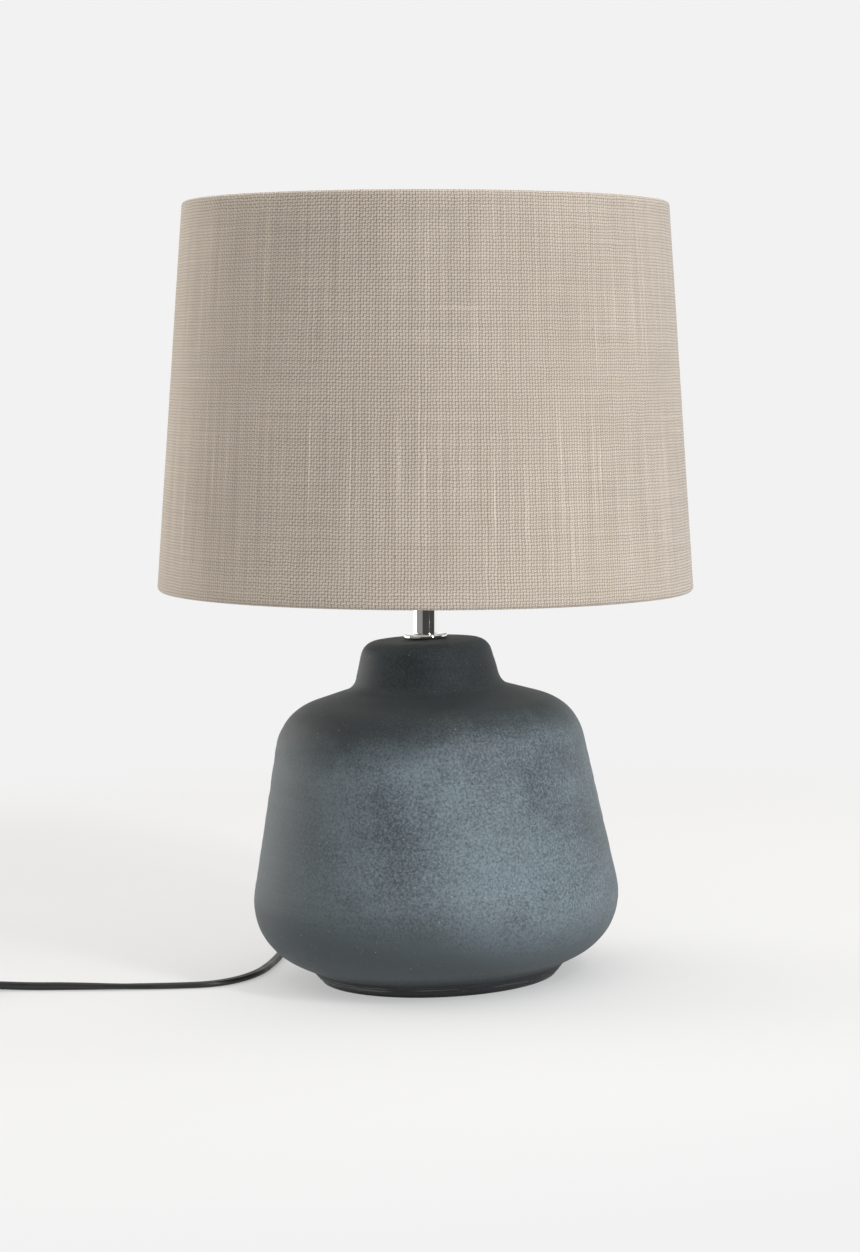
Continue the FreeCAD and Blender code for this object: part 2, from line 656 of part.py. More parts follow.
def make_inner_flex():
    slope = math.radians(number(s.exitSlope))
    start_y, start_z = exit_point(-number(s.grommetInside))
    inward = (-math.cos(slope), math.sin(slope))
    nipple_foot = stem_frame.multVec(Vector(0, 0, -number(s.nippleBelow) - 2))
    below = stem_frame.multVec(Vector(0, 0, -number(s.nippleBelow) - 24))
    route = [
        (0, start_y, start_z), (0, start_y + 26 * inward[0], start_z + 26 * inward[1]),
        (-3, start_y - 48, start_z + 26), (-5, 14, start_z + 34), (-4, -6, start_z + 62),
        (-3, -4, start_z + 94), tuple(below), tuple(nipple_foot),
    ]
    keep(bent_rod("inner_flex", route, s.cordRadius), "inner_flex")
    grip = tube(s.gripRadius, s.cordRadius, 0, s.gripLength)
    backwards = -number(s.grommetInside + s.gripLength)
    keep(grip, "cord_grip", exit_frame().multiply(Placement(Vector(0, 0, backwards), Rotation())))


def shell_half(low, height, floor_low):
    """Half of the switch's housing: a box with round upright corners, hollowed from one side."""
    length, width, wall = s.switchLength, s.switchWidth, s.switchWall
    halves = []
    for inset, start, rise in ((0, low, height), (wall, floor_low, height)):
        body = document.addObject("PartDesign::Body", "Housing")
        half_length = length / 2 - inset
        half_width = width / 2 - inset
        sketch = outline(body, "XY_Plane", [
            (-half_length, -half_width), (half_length, -half_width),
            (half_length, half_width), (-half_length, half_width),
        ])
        pad = body.newObject("PartDesign::Pad", "Pad")
        pad.Profile = sketch
        bind(pad, "Length", rise)
        body.Tip = pad
        document.recompute()
        upright = ["Edge%d" % index for index, edge in enumerate(pad.Shape.Edges, start=1)
                   if abs(edge.Vertexes[0].Z - edge.Vertexes[1].Z) > 1]
        fillet = body.newObject("PartDesign::Fillet", "Round")
        fillet.Base = (pad, upright)
        bind(fillet, "Radius", s.switchRound - inset)
        bind(body, "Placement.Base.z", start)
        document.recompute()
        halves.append(body)
    return cut(*halves)


def make_switch():
    ends = s.switchLength / 2
    split = s.switchSplit
    wall = s.switchWall
    insert = s.switchInsert
    cord_bore = cylinder(s.cordRadius, 0, s.switchLength + 4)
    along = Rotation(Vector(0, 1, 0), 90)
    cord_bore.Placement = Placement(Vector(-number(ends) - 2, 0, number(s.switchCordHeight)), along)
    screw_places = [(s.switchScrewX, -s.switchScrewY), (-s.switchScrewX, s.switchScrewY)]

    base = shell_half(0, split, wall)
    bosses = [cylinder(s.switchBossRadius, wall / 2, split - wall / 2, x, y) for x, y in screw_places]
    bores = [cylinder(s.switchScrewRadius, -1, split + 2, x, y) for x, y in screw_places]
    sinks = [cylinder(s.switchScrewHead, -1, 1 + wall, x, y) for x, y in screw_places]
    keep(cut(fuse(base, *bosses), fuse(cord_bore, *bores, *sinks)), "switch_base", switch_frame)

    top = s.switchHeight
    cover = shell_half(split, top - split, split - wall)
    half = s.rockerLength / 2
    crown = top + s.rockerProud - s.rockerPivotHeight
    tip = crown - half * tangent(s.rockerTilt)
    swing = half * cosine(s.rockerTilt) + tip * sine(s.rockerTilt) + s.rockerGap
    window = box((-swing, -s.rockerWidth / 2 - s.rockerGap, split),
                 (2 * swing, s.rockerWidth + 2 * s.rockerGap, top))
    inner_side = s.rockerWidth / 2 + s.rockerGap
    lug_low = s.rockerPivotHeight - 2 * s.pinRadius
    lug_height = top - wall / 2 - lug_low
    lugs = [box((-s.lugLength / 2, place, lug_low), (s.lugLength, s.lugThickness, lug_height))
            for place in (inner_side, -inner_side - s.lugThickness)]
    posts = [cylinder(s.switchBossRadius, split, top - wall / 2 - split, x, y) for x, y in screw_places]
    pin_half = inner_side + s.lugThickness
    pin_bore = cylinder(s.pinRadius, 0, 2 * pin_half + 2)
    across = Rotation(Vector(1, 0, 0), 90)
    pivot = number(s.rockerPivotHeight)
    pin_bore.Placement = Placement(Vector(0, number(pin_half) + 1, pivot), across)
    threads = [cylinder(s.switchScrewRadius, split - 1, 5, x, y) for x, y in screw_places]
    housing = cut(fuse(cut(cover, window), *lugs, *posts), fuse(pin_bore, *threads))
    keep(housing, "switch_cover", switch_frame)

    pin = cylinder(s.pinRadius, 0, 2 * pin_half)
    keep(pin, "switch_pin", switch_frame.multiply(Placement(Vector(0, number(pin_half), pivot), across)))

    # the rocker: two flat faces that meet above its pin, tilted to the side that is pressed
    rocker = extruded("XZ_Plane", [
        (-half, tip - s.rockerDepth), (-3, -2.4), (3, -2.4), (half, tip - s.rockerDepth),
        (half, tip), (0, crown), (-half, tip),
    ], s.rockerWidth)
    rocker_bore = cylinder(s.pinRadius + s.pinGap, 0, s.rockerWidth + 2)
    rocker_bore.Placement = Placement(Vector(0, number(s.rockerWidth) / 2 + 1, 0), across)
    tilted = Placement(Vector(0, 0, pivot), Rotation(Vector(0, 1, 0), number(s.rockerTilt)))
    keep(cut(rocker, rocker_bore), "switch_rocker", switch_frame.multiply(tilted))

    screws = []
    for x, y in screw_places:
        screws.append(cylinder(s.switchScrewRadius, wall, split + 4 - wall, x, y))
        screws.append(cylinder(s.switchScrewHead, 0.3, wall - 0.3, x, y))
    keep(fuse(*screws), "switch_screws", switch_frame)

    contacts = []
    for side in (-1, 1):
        middle = side * s.contactSpacing / 2
        strip = box((middle - s.contactLength / 2, -s.contactWidth / 2 + 3.4, wall),
                    (s.contactLength, s.contactWidth, s.contactThickness))
        upright = box((middle - s.contactThickness / 2, -s.contactWidth / 2 + 3.4, wall),
                      (s.contactThickness, s.contactWidth, 3))
        contacts.append(fuse(strip, upright))
    keep(fuse(*contacts), "switch_contacts", switch_frame)

    core_length = s.switchLength - 2 * insert
    core = cylinder(s.coreRadius, 0, core_length)
    core_start = Vector(-number(core_length) / 2, -1.0, number(s.switchCordHeight))
    keep(core, "switch_core", switch_frame.multiply(Placement(core_start, along)))


def switch_end(side, depth):
    """A point on the flex's axis at one end of the switch, this far inside the housing."""
    x = side * (number(s.switchLength) / 2 - depth)
    return switch_frame.multVec(Vector(x, 0, number(s.switchCordHeight)))


def make_flex():
    start_y, start_z = exit_point(number(s.grommetReach) - 0.05)
    insert = number(s.switchInsert)
    lead = [(0, start_y, start_z)] + LEAD_ROUTE + [tuple(switch_end(1, insert))]
    keep(bent_rod("cord_lead", lead, s.cordRadius), "cord_lead")
    link = [tuple(switch_end(-1, insert))] + LINK_ROUTE
    keep(bent_rod("cord_link", link, s.cordRadius), "cord_link")
    tail = TAIL_ROUTE + [tuple(PLUG_PLACE)]
    keep(bent_rod("cord_tail", tail, s.cordRadius), "cord_tail")

    half = s.coilWidth / 2
    coil_frame = Placement(COIL_PLACE, Rotation())
    keep(tube(s.coilMeanRadius + half, s.coilMeanRadius - half, 0, s.coilHeight), "cord_coil", coil_frame)
    thick = s.tieThickness
    outer = box((s.coilMeanRadius - half - thick, -s.tieWidth / 2, 0),
                (s.coilWidth + 2 * thick, s.tieWidth, s.coilHeight + thick))
    inner = box((s.coilMeanRadius - half, -s.tieWidth, -1),
                (s.coilWidth, 2 * s.tieWidth, s.coilHeight + 1))
    ring = tube(s.coilMeanRadius + half, s.coilMeanRadius - half, -1, s.coilHeight + 1)
    keep(cut(cut(outer, ring), common(inner, ring)), "coil_tie", coil_frame)


def plug_frame():
    """X runs out of the plug's pins, from the end of its sleeve, in line with the flex's last run."""
    ahead = PLUG_PLACE - Vector(*TAIL_ROUTE[-1])
    heading = math.degrees(math.atan2(ahead.y, ahead.x))
    return Placement(PLUG_PLACE, Rotation(Vector(0, 0, 1), heading))


def rounded_rectangle(x, width, height, radius):
    """A closed wire across the X axis."""
    half_width, half_height = width / 2 - radius, height / 2 - radius
    corners = [(half_width, half_height), (-half_width, half_height),
               (-half_width, -half_height), (half_width, -half_height)]
    edges = []
    for index, (y, z) in enumerate(corners):
        centre = Vector(x, y, z)
        spokes = [Rotation(Vector(1, 0, 0), 90 * index + turn).multVec(Vector(0, radius, 0))
                  for turn in (0, 45, 90)]
        start, middle, end = [centre + spoke for spoke in spokes]
        if edges:
            edges.append(Part.LineSegment(previous, start).toShape())
        else:
            first = start
        edges.append(Part.Arc(start, middle, end).toShape())
        previous = end
    edges.append(Part.LineSegment(previous, first).toShape())
    return Part.Wire(edges)


def make_plug():
    frame = plug_frame()
    width, thick = number(s.plugWidth), number(s.plugThickness)
    sleeve, length = number(s.plugSleeve), number(s.plugLength)
    front = sleeve + length
    sections = [
        rounded_rectangle(0, 7.2, 6.6, 2.6), rounded_rectangle(sleeve, 10.0, 9.0, 3.4),
        rounded_rectangle(sleeve + 4, 15.0, thick - 1, 4.5),
        rounded_rectangle(front - 16, width - 1, thick, 5.0), rounded_rectangle(front, width, thick, 5.0),
    ]
    blank = document.addObject("Part::Feature", "PlugBlank")
    blank.Shape = Part.makeLoft(sections, True, True)
    along = Rotation(Vector(0, 1, 0), 90)
    bores, pins, sleeves = [], [], []
    flush = number(s.plugSleeveLength)
    for side in (-1, 1):
        y = side * number(s.plugPinSpacing) / 2
        low = front - number(s.plugPinInset)
        bore = cylinder(s.plugCoreRadius, 0, s.plugPinInset + 1)
        bore.Placement = Placement(Vector(low, y, 0), along)
        bores.append(bore)
        core = cylinder(s.plugCoreRadius, 0, s.plugPinInset + s.plugSleeveLength)
        core.Placement = Placement(Vector(low, y, 0), along)
        bare = turned([
            (0, 0), (s.plugPinRadius, 0), (s.plugPinRadius, s.plugPinLength - s.plugSleeveLength - 1),
            (s.plugPinRadius - 1, s.plugPinLength - s.plugSleeveLength),
            (0, s.plugPinLength - s.plugSleeveLength),
        ])
        bare.Placement = Placement(Vector(front + flush, y, 0), along)
        pins.extend([core, bare])
        jacket = tube(s.plugSleeveRadius, s.plugCoreRadius, 0, s.plugSleeveLength)
        jacket.Placement = Placement(Vector(front, y, 0), along)
        sleeves.append(jacket)
    keep(cut(blank, fuse(*bores)), "plug_body", frame)
    keep(fuse(*pins), "plug_pins", frame)
    keep(fuse(*sleeves), "plug_sleeves", frame)


def check():
    document.recompute()
    for thing in document.Objects:
        if "Invalid" in thing.State or "Error" in thing.State:
            raise ValueError("%s (%s) failed: %s" % (thing.Name, thing.Label, thing.State))
    for node in nodes:
        shape = node.Shape
        if shape.isNull() or not shape.isValid() or not shape.Solids or shape.Volume <= 0:
            raise ValueError("%s has no valid solid" % node.Label)


make_pot_and_foot()
make_neck()
contact_level = make_lampholder()
make_bulb(contact_level)
make_shade(s.stemLength + s.shoulderHeight + s.shoulderThickness + s.hubRest)
make_inner_flex()
make_switch()
make_flex()
make_plug()
check()
os.makedirs("parts", exist_ok=True)
for node in nodes:
    node.Shape.exportStep(os.path.join("parts", node.Label + ".step"))
print("%d nodes written" % len(nodes))
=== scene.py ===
import math

import bmesh
import bpy
from mathutils import Matrix, Vector, noise


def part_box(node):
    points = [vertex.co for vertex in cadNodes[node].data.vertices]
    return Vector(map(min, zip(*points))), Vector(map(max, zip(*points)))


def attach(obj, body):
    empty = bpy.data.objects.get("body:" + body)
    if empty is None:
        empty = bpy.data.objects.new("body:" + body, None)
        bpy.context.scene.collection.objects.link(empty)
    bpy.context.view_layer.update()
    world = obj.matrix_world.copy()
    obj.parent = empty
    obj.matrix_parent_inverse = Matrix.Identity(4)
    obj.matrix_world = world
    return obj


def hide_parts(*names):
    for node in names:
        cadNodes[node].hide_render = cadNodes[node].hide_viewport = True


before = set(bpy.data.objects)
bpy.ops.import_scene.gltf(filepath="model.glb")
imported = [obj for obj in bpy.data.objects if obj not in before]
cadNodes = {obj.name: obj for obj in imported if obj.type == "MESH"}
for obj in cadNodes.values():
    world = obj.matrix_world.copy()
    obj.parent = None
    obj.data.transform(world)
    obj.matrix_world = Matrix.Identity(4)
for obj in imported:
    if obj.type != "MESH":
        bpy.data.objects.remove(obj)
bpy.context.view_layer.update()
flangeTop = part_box("neck_flange")[1].z
lean = {"degrees": 2.3}  # the stem, lampholder and shade lean this far to +X
leaned = {"Turn": (0, math.radians(lean["degrees"]), 0), "Place": (0, 0, flangeTop)}
stemPlace = Matrix.Translation((0, 0, flangeTop)) @ Matrix.Rotation(math.radians(lean["degrees"]), 4, "Y")


def addNode(tree, kind, inputs=None, **settings):
    # a value goes on its socket, and a socket is linked to it
    node = tree.nodes.new(kind)
    for name, value in settings.items():
        setattr(node, name, value)
    for name, value in (inputs or {}).items():
        socket = node.inputs[name]
        if isinstance(value, bpy.types.NodeSocket):
            tree.links.new(value, socket)
        else:
            socket.default_value = value
    return node


def calc(tree, operation, first, second=0.0, third=0.0):
    inputs = {0: first, 1: second, 2: third}
    return addNode(tree, "ShaderNodeMath", inputs, operation=operation).outputs[0]


def times(tree, first, second):
    return calc(tree, "MULTIPLY", first, second)


def mixColours(tree, factor, first, second):
    # each colour is a socket or three numbers
    first, second = [(*colour, 1) if isinstance(colour, tuple) else colour for colour in (first, second)]
    return addNode(tree, "ShaderNodeMix", {0: factor, 6: first, 7: second}, data_type="RGBA").outputs[2]


def mixShaders(tree, factor, first, second):
    return addNode(tree, "ShaderNodeMixShader", {0: factor, 1: first, 2: second}).outputs[0]


def remap(tree, value, fromLow, fromHigh, toLow=0.0, toHigh=1.0):
    inputs = {0: value, 1: fromLow, 2: fromHigh, 3: toLow, 4: toHigh}
    return addNode(tree, "ShaderNodeMapRange", inputs, interpolation_type="SMOOTHSTEP").outputs[0]


def stretched(tree, vector, scale):
    return addNode(tree, "ShaderNodeMapping", {"Vector": vector, "Scale": scale}).outputs[0]


def cloudy(tree, vector, scale, detail=3.0, roughness=0.5):
    inputs = {"Vector": vector, "Scale": scale, "Detail": detail, "Roughness": roughness}
    return addNode(tree, "ShaderNodeTexNoise", inputs).outputs[0]


def floats(*labels):
    return [(label, "Float", 0.0) for label in labels]


def newGroup(name, kind, inputs, outputs):
    group = bpy.data.node_groups.new(name, kind)
    for label, socketKind, default in inputs:
        socket = group.interface.new_socket(name=label, in_out="INPUT", socket_type="NodeSocket" + socketKind)
        if default is not None:
            socket.default_value = default
    for label, socketKind, _ in outputs:
        group.interface.new_socket(name=label, in_out="OUTPUT", socket_type="NodeSocket" + socketKind)
    return group, group.nodes.new("NodeGroupInput"), group.nodes.new("NodeGroupOutput")


def useGroup(tree, group, inputs):
    kind = "ShaderNodeGroup" if tree.type == "SHADER" else "GeometryNodeGroup"
    return addNode(tree, kind, inputs, node_tree=group)


def addObject(name, data):
    item = bpy.data.objects.new(name, data)
    bpy.context.scene.collection.objects.link(item)
    return item


def bakedMesh(item):
    graph = bpy.context.evaluated_depsgraph_get()
    return bpy.data.meshes.new_from_object(item.evaluated_get(graph))


def aimed(place, target):
    look = (Vector(target) - Vector(place)).to_track_quat("-Z", "Y").to_matrix().to_4x4()
    return Matrix.Translation(place) @ look


def bridge(mesh, first, second):
    # a band of faces between two closed loops with as many points
    for step in range(len(first)):
        after = (step + 1) % len(first)
        mesh.faces.new((first[step], first[after], second[after], second[step]))


def toObject(name, mesh, material, place=None, sharp=40):
    bmesh.ops.recalc_face_normals(mesh, faces=mesh.faces)
    data = bpy.data.meshes.new(name)
    mesh.to_mesh(data)
    mesh.free()
    if place is not None:
        data.transform(place)
    data.shade_smooth()
    data.set_sharp_from_angle(angle=math.radians(sharp))
    data.materials.append(material)
    return addObject(name, data)


def roundedOutline(corners, spacing):
    # corners are (radius, height, rounding); straight stretches are filled in at the spacing
    line = []
    for index, (radius, height, rounding) in enumerate(corners):
        here = Vector((radius, height))
        if rounding == 0:
            line.append(here)
            continue
        before = (Vector(corners[index - 1][:2]) - here).normalized()
        after = (Vector(corners[index + 1][:2]) - here).normalized()
        half = before.angle(after) / 2
        centre = here + (before + after).normalized() * rounding / math.sin(half)
        start = here + before * rounding / math.tan(half) - centre
        end = here + after * rounding / math.tan(half) - centre
        turn = math.pi - 2 * half
        count = max(3, round(rounding * turn / spacing))
        for step in range(count + 1):
            share = step / count
            spoke = start * math.sin((1 - share) * turn) + end * math.sin(share * turn)
            line.append(centre + spoke / math.sin(turn))
    filled = [line[0]]
    for point in line[1:]:
        last = filled[-1]
        count = max(1, round((point - last).length / spacing))
        filled.extend(last.lerp(point, step / count) for step in range(1, count + 1))
    return filled


def outlineOf(corners, spacing):
    return [tuple(point) for point in roundedOutline(corners, spacing)]


def turnPiece(name, outline, around, material, place=None, swell=None, sharp=40):
    # outline is a loop of (radius, height); a point on the axis is a pole
    mesh = bmesh.new()
    rings = []
    for radius, height in outline:
        if radius < 1e-7:
            rings.append([mesh.verts.new((0, 0, height))])
            continue
        ring = []
        for step in range(around):
            angle = 2 * math.pi * step / around
            grown = radius + (swell(angle, radius, height) if swell else 0.0)
            ring.append(mesh.verts.new((grown * math.cos(angle), grown * math.sin(angle), height)))
        rings.append(ring)
    for first, second in zip(rings, rings[1:] + rings[:1]):
        if len(first) == 1 and len(second) == 1:
            continue
        for step in range(around):
            after = (step + 1) % around
            corners = [first[step % len(first)], first[after % len(first)],
                       second[after % len(second)], second[step % len(second)]]
            mesh.faces.new(list(dict.fromkeys(corners)))
    return toObject(name, mesh, material, place, sharp)


def applyTree(name, group, inputs, material):
    holder = addObject(name, bpy.data.meshes.new(name))
    modifier = holder.modifiers.new(name, "NODES")
    modifier.node_group = group
    inputs = {**inputs, "Material": material}
    for item in group.interface.items_tree:
        if item.item_type == "SOCKET" and item.in_out == "INPUT" and item.name in inputs:
            modifier[item.identifier] = inputs[item.name]
    data = bakedMesh(holder)
    holder.modifiers.remove(modifier)
    holder.data = data
    return holder


camera = {"place": (0.00273, -1.683, 0.3448), "aim": (0.00273, 0.0, 0.1978), "lens": 86.4, "roll": 2.3}


def makeCamera():
    data = bpy.data.cameras.new("lampCamera")
    data.lens = camera["lens"]
    data.sensor_width = 36
    data.clip_end = 60
    item = addObject("lampCamera", data)
    roll = Matrix.Rotation(-math.radians(camera["roll"]), 4, "Z")
    item.matrix_world = aimed(camera["place"], camera["aim"]) @ roll
    bpy.context.scene.camera = item


makeCamera()
print("camera set")


def makeSurfaceGrain():
    # blotches, fine specks and a height for moulded, glazed and rubbery skins
    inputs = [("Vector", "Vector", None), ("Coarse", "Float", 40.0), ("Fine", "Float", 900.0)]
    outputs = floats("Blotch", "Speck", "Height")
    group, source, result = newGroup("surfaceGrain", "ShaderNodeTree", inputs, outputs)
    vector = source.outputs["Vector"]
    blotch = cloudy(group, vector, source.outputs["Coarse"], 5.0, 0.62)
    fine = cloudy(group, vector, source.outputs["Fine"], 3.0, 0.6)
    group.links.new(remap(group, blotch, 0.34, 0.66), result.inputs["Blotch"])
    group.links.new(remap(group, fine, 0.66, 0.74), result.inputs["Speck"])
    height = calc(group, "MULTIPLY_ADD", fine, 0.7, times(group, blotch, 0.3))
    group.links.new(height, result.inputs["Height"])
    return group


def makeBrushedLines():
    # fine lines that run one way, for turned and drawn metal
    inputs = [("Vector", "Vector", None), ("Across", "Float", 4000.0), ("Along", "Float", 60.0)]
    group, source, result = newGroup("brushedLines", "ShaderNodeTree", inputs, floats("Lines", "Stain"))
    along, across = source.outputs["Along"], source.outputs["Across"]
    scale = addNode(group, "ShaderNodeCombineXYZ", {0: along, 1: along, 2: across}).outputs[0]
    lines = cloudy(group, stretched(group, source.outputs["Vector"], scale), 1.0, 2.0)
    stain = cloudy(group, source.outputs["Vector"], 70.0, 4.0, 0.6)
    group.links.new(lines, result.inputs["Lines"])
    group.links.new(remap(group, stain, 0.4, 0.7), result.inputs["Stain"])
    return group


def makeClothWeave():
    # plain weave on a UV map in metres: crossing threads, slubs along both, and dark flecks
    inputs = [("UV", "Vector", None), ("Thread", "Float", 0.0017), ("Slub", "Float", 1.0)]
    outputs = floats("Tone", "Fleck", "Height")
    group, source, result = newGroup("clothWeave", "ShaderNodeTree", inputs, outputs)
    split = addNode(group, "ShaderNodeSeparateXYZ", {0: source.outputs["UV"]})
    thread = source.outputs["Thread"]
    drift = calc(group, "SUBTRACT", cloudy(group, source.outputs["UV"], 90.0, 2.0), 0.5)
    across = calc(group, "MULTIPLY_ADD", drift, 0.9, calc(group, "DIVIDE", split.outputs[0], thread))
    along = calc(group, "MULTIPLY_ADD", drift, -0.8, calc(group, "DIVIDE", split.outputs[1], thread))
    warp = calc(group, "ABSOLUTE", calc(group, "SINE", times(group, across, math.pi)))
    weft = calc(group, "ABSOLUTE", calc(group, "SINE", times(group, along, math.pi)))
    cells = addNode(group, "ShaderNodeCombineXYZ", {0: across, 1: along}).outputs[0]
    over = addNode(group, "ShaderNodeTexChecker", {"Vector": cells, "Scale": 1.0}).outputs[1]
    crossing = calc(group, "MULTIPLY_ADD", calc(group, "SUBTRACT", warp, weft), over, weft)
    warpSlub = cloudy(group, stretched(group, cells, (0.95, 0.014, 1.0)), 1.0, 2.0, 0.55)
    weftSlub = cloudy(group, stretched(group, cells, (0.020, 0.90, 1.0)), 1.0, 2.0, 0.55)
    bright = remap(group, warpSlub, 0.64, 0.76)
    faint = remap(group, weftSlub, 0.68, 0.80, 0.0, 0.45)
    slub = times(group, calc(group, "MAXIMUM", bright, faint), source.outputs["Slub"])
    weftTone = times(group, calc(group, "SUBTRACT", weftSlub, 0.5), 0.26)
    uneven = calc(group, "MULTIPLY_ADD", calc(group, "SUBTRACT", warpSlub, 0.5), 0.46, weftTone)
    tone = calc(group, "MULTIPLY_ADD", crossing, 0.70, calc(group, "MULTIPLY_ADD", slub, 0.30, uneven))
    flecks = cloudy(group, stretched(group, cells, (0.55, 0.40, 1.0)), 1.0, 2.0)
    fleck = remap(group, flecks, 0.735, 0.79)
    group.links.new(tone, result.inputs["Tone"])
    group.links.new(fleck, result.inputs["Fleck"])
    group.links.new(calc(group, "MULTIPLY_ADD", slub, 0.5, crossing), result.inputs["Height"])
    return group


surfaceGrain = makeSurfaceGrain()
brushedLines = makeBrushedLines()
clothWeave = makeClothWeave()
print("shared effects built")


def startMaterial(name, roughness=0.5, metallic=0.0, **sockets):
    material = bpy.data.materials.new(name)
    material.use_nodes = True
    shader = material.node_tree.nodes["Principled BSDF"]
    shader.inputs["Roughness"].default_value = roughness
    shader.inputs["Metallic"].default_value = metallic
    for label, value in sockets.items():
        shader.inputs[label].default_value = value
    return material, material.node_tree, shader


def objectPoint(tree):
    return addNode(tree, "ShaderNodeTexCoord").outputs["Object"]


def bump(tree, shader, height, distance, strength=1.0):
    node = addNode(tree, "ShaderNodeBump", {"Height": height, "Distance": distance, "Strength": strength})
    tree.links.new(node.outputs[0], shader.inputs["Normal"])


def mouldedFinish(name, colour, worn, roughness, coarse, fine, depth, speck, **sockets):
    # a moulded, cast or felted skin: blotches of the worn colour, specks and a fine grain
    material, tree, shader = startMaterial(name, **sockets)
    grain = useGroup(tree, surfaceGrain, {"Vector": objectPoint(tree), "Coarse": coarse, "Fine": fine})
    tint = mixColours(tree, grain.outputs["Blotch"], colour, worn)
    lift = times(tree, grain.outputs["Speck"], speck)
    speckle = tuple(min(1, 2.2 * part + 0.04) for part in worn)
    tree.links.new(mixColours(tree, lift, tint, speckle), shader.inputs["Base Color"])
    tree.links.new(remap(tree, grain.outputs["Blotch"], 0.0, 1.0, *roughness), shader.inputs["Roughness"])
    bump(tree, shader, grain.outputs["Height"], depth)
    return material


def metalFinish(name, colour, stain, roughness, across, along):
    material, tree, shader = startMaterial(name, metallic=1.0)
    lines = useGroup(tree, brushedLines, {"Vector": objectPoint(tree), "Across": across, "Along": along})
    soiled = times(tree, lines.outputs["Stain"], 0.5)
    tree.links.new(mixColours(tree, soiled, colour, stain), shader.inputs["Base Color"])
    polish = calc(tree, "MULTIPLY_ADD", lines.outputs["Lines"], 0.5, soiled)
    tree.links.new(remap(tree, polish, 0.1, 0.8, *roughness), shader.inputs["Roughness"])
    bump(tree, shader, lines.outputs["Lines"], 0.00001, 0.4)
    return material


linen = {"thread": (0.275, 0.231, 0.184), "pale": (0.755, 0.656, 0.555), "dark": (0.14, 0.11, 0.08),
         "aged": (0.30, 0.24, 0.18), "thread width": 0.0016, "slub": 1.0, "depth": 0.00035}


def makeLinen():
    soft = {"Specular IOR Level": 0.15, "Sheen Weight": 0.25, "Sheen Roughness": 0.5}
    material, tree, shader = startMaterial("linenCloth", 0.9, **soft)
    uv = addNode(tree, "ShaderNodeUVMap", uv_map="UVMap").outputs[0]
    threads = {"UV": uv, "Thread": linen["thread width"], "Slub": linen["slub"]}
    weave = useGroup(tree, clothWeave, threads)
    tone = remap(tree, weave.outputs["Tone"], -0.10, 1.0)
    colour = mixColours(tree, tone, linen["thread"], linen["pale"])
    grain = useGroup(tree, surfaceGrain, {"Vector": objectPoint(tree), "Coarse": 14.0, "Fine": 1500.0})
    blotch = times(tree, grain.outputs["Blotch"], 0.10)
    colour = mixColours(tree, blotch, colour, linen["aged"])
    fleck = times(tree, weave.outputs["Fleck"], 0.55)
    colour = mixColours(tree, fleck, colour, linen["dark"])
    tree.links.new(colour, shader.inputs["Base Color"])
    bump(tree, shader, weave.outputs["Height"], linen["depth"], 0.8)
    return material


slip = {"dark": (0.015, 0.018, 0.020), "slate": (0.060, 0.074, 0.080), "powder": (0.190, 0.238, 0.268),
        "roughness": (0.48, 0.68), "grain depth": 0.00025,
        "cloud size": 30.0, "powder size": 760.0, "mottle span": (0.92, 1.70),
        "shaded side": (-0.095, -0.005, 0.30, 1.0),  # painted shade on the left, away from the light: from x, to x, share there and share here
        # painted shade: the powder fades toward the bottom of the belly, reaching higher at the left than at
        # the right, where the light falls
        "shaded low side": (-0.01, 0.06, 0.0, 0.018), "shaded belly": (0.024, 0.074),
        # painted shade: the neck band is lowered on the left side
        "neck shade sag": (-0.060, 0.030, 0.011, -0.001), "neck band": (0.148, 0.172, 0.0, 0.80),
        "foot band": (0.009, 0.020, 0.96, 0.0),
        "scuff": (0.33, 0.32, 0.29), "scuff share": 0.35,
        "scuff height": 0.0045, "scuff width": (0.0004, 0.0022),
        "speck": (0.62, 0.62, 0.58), "speck span": (0.765, 0.80, 0.0, 0.6),
        "pit": (0.02, 0.02, 0.02), "pit span": (0.22, 0.26, 0.55, 0.0)}


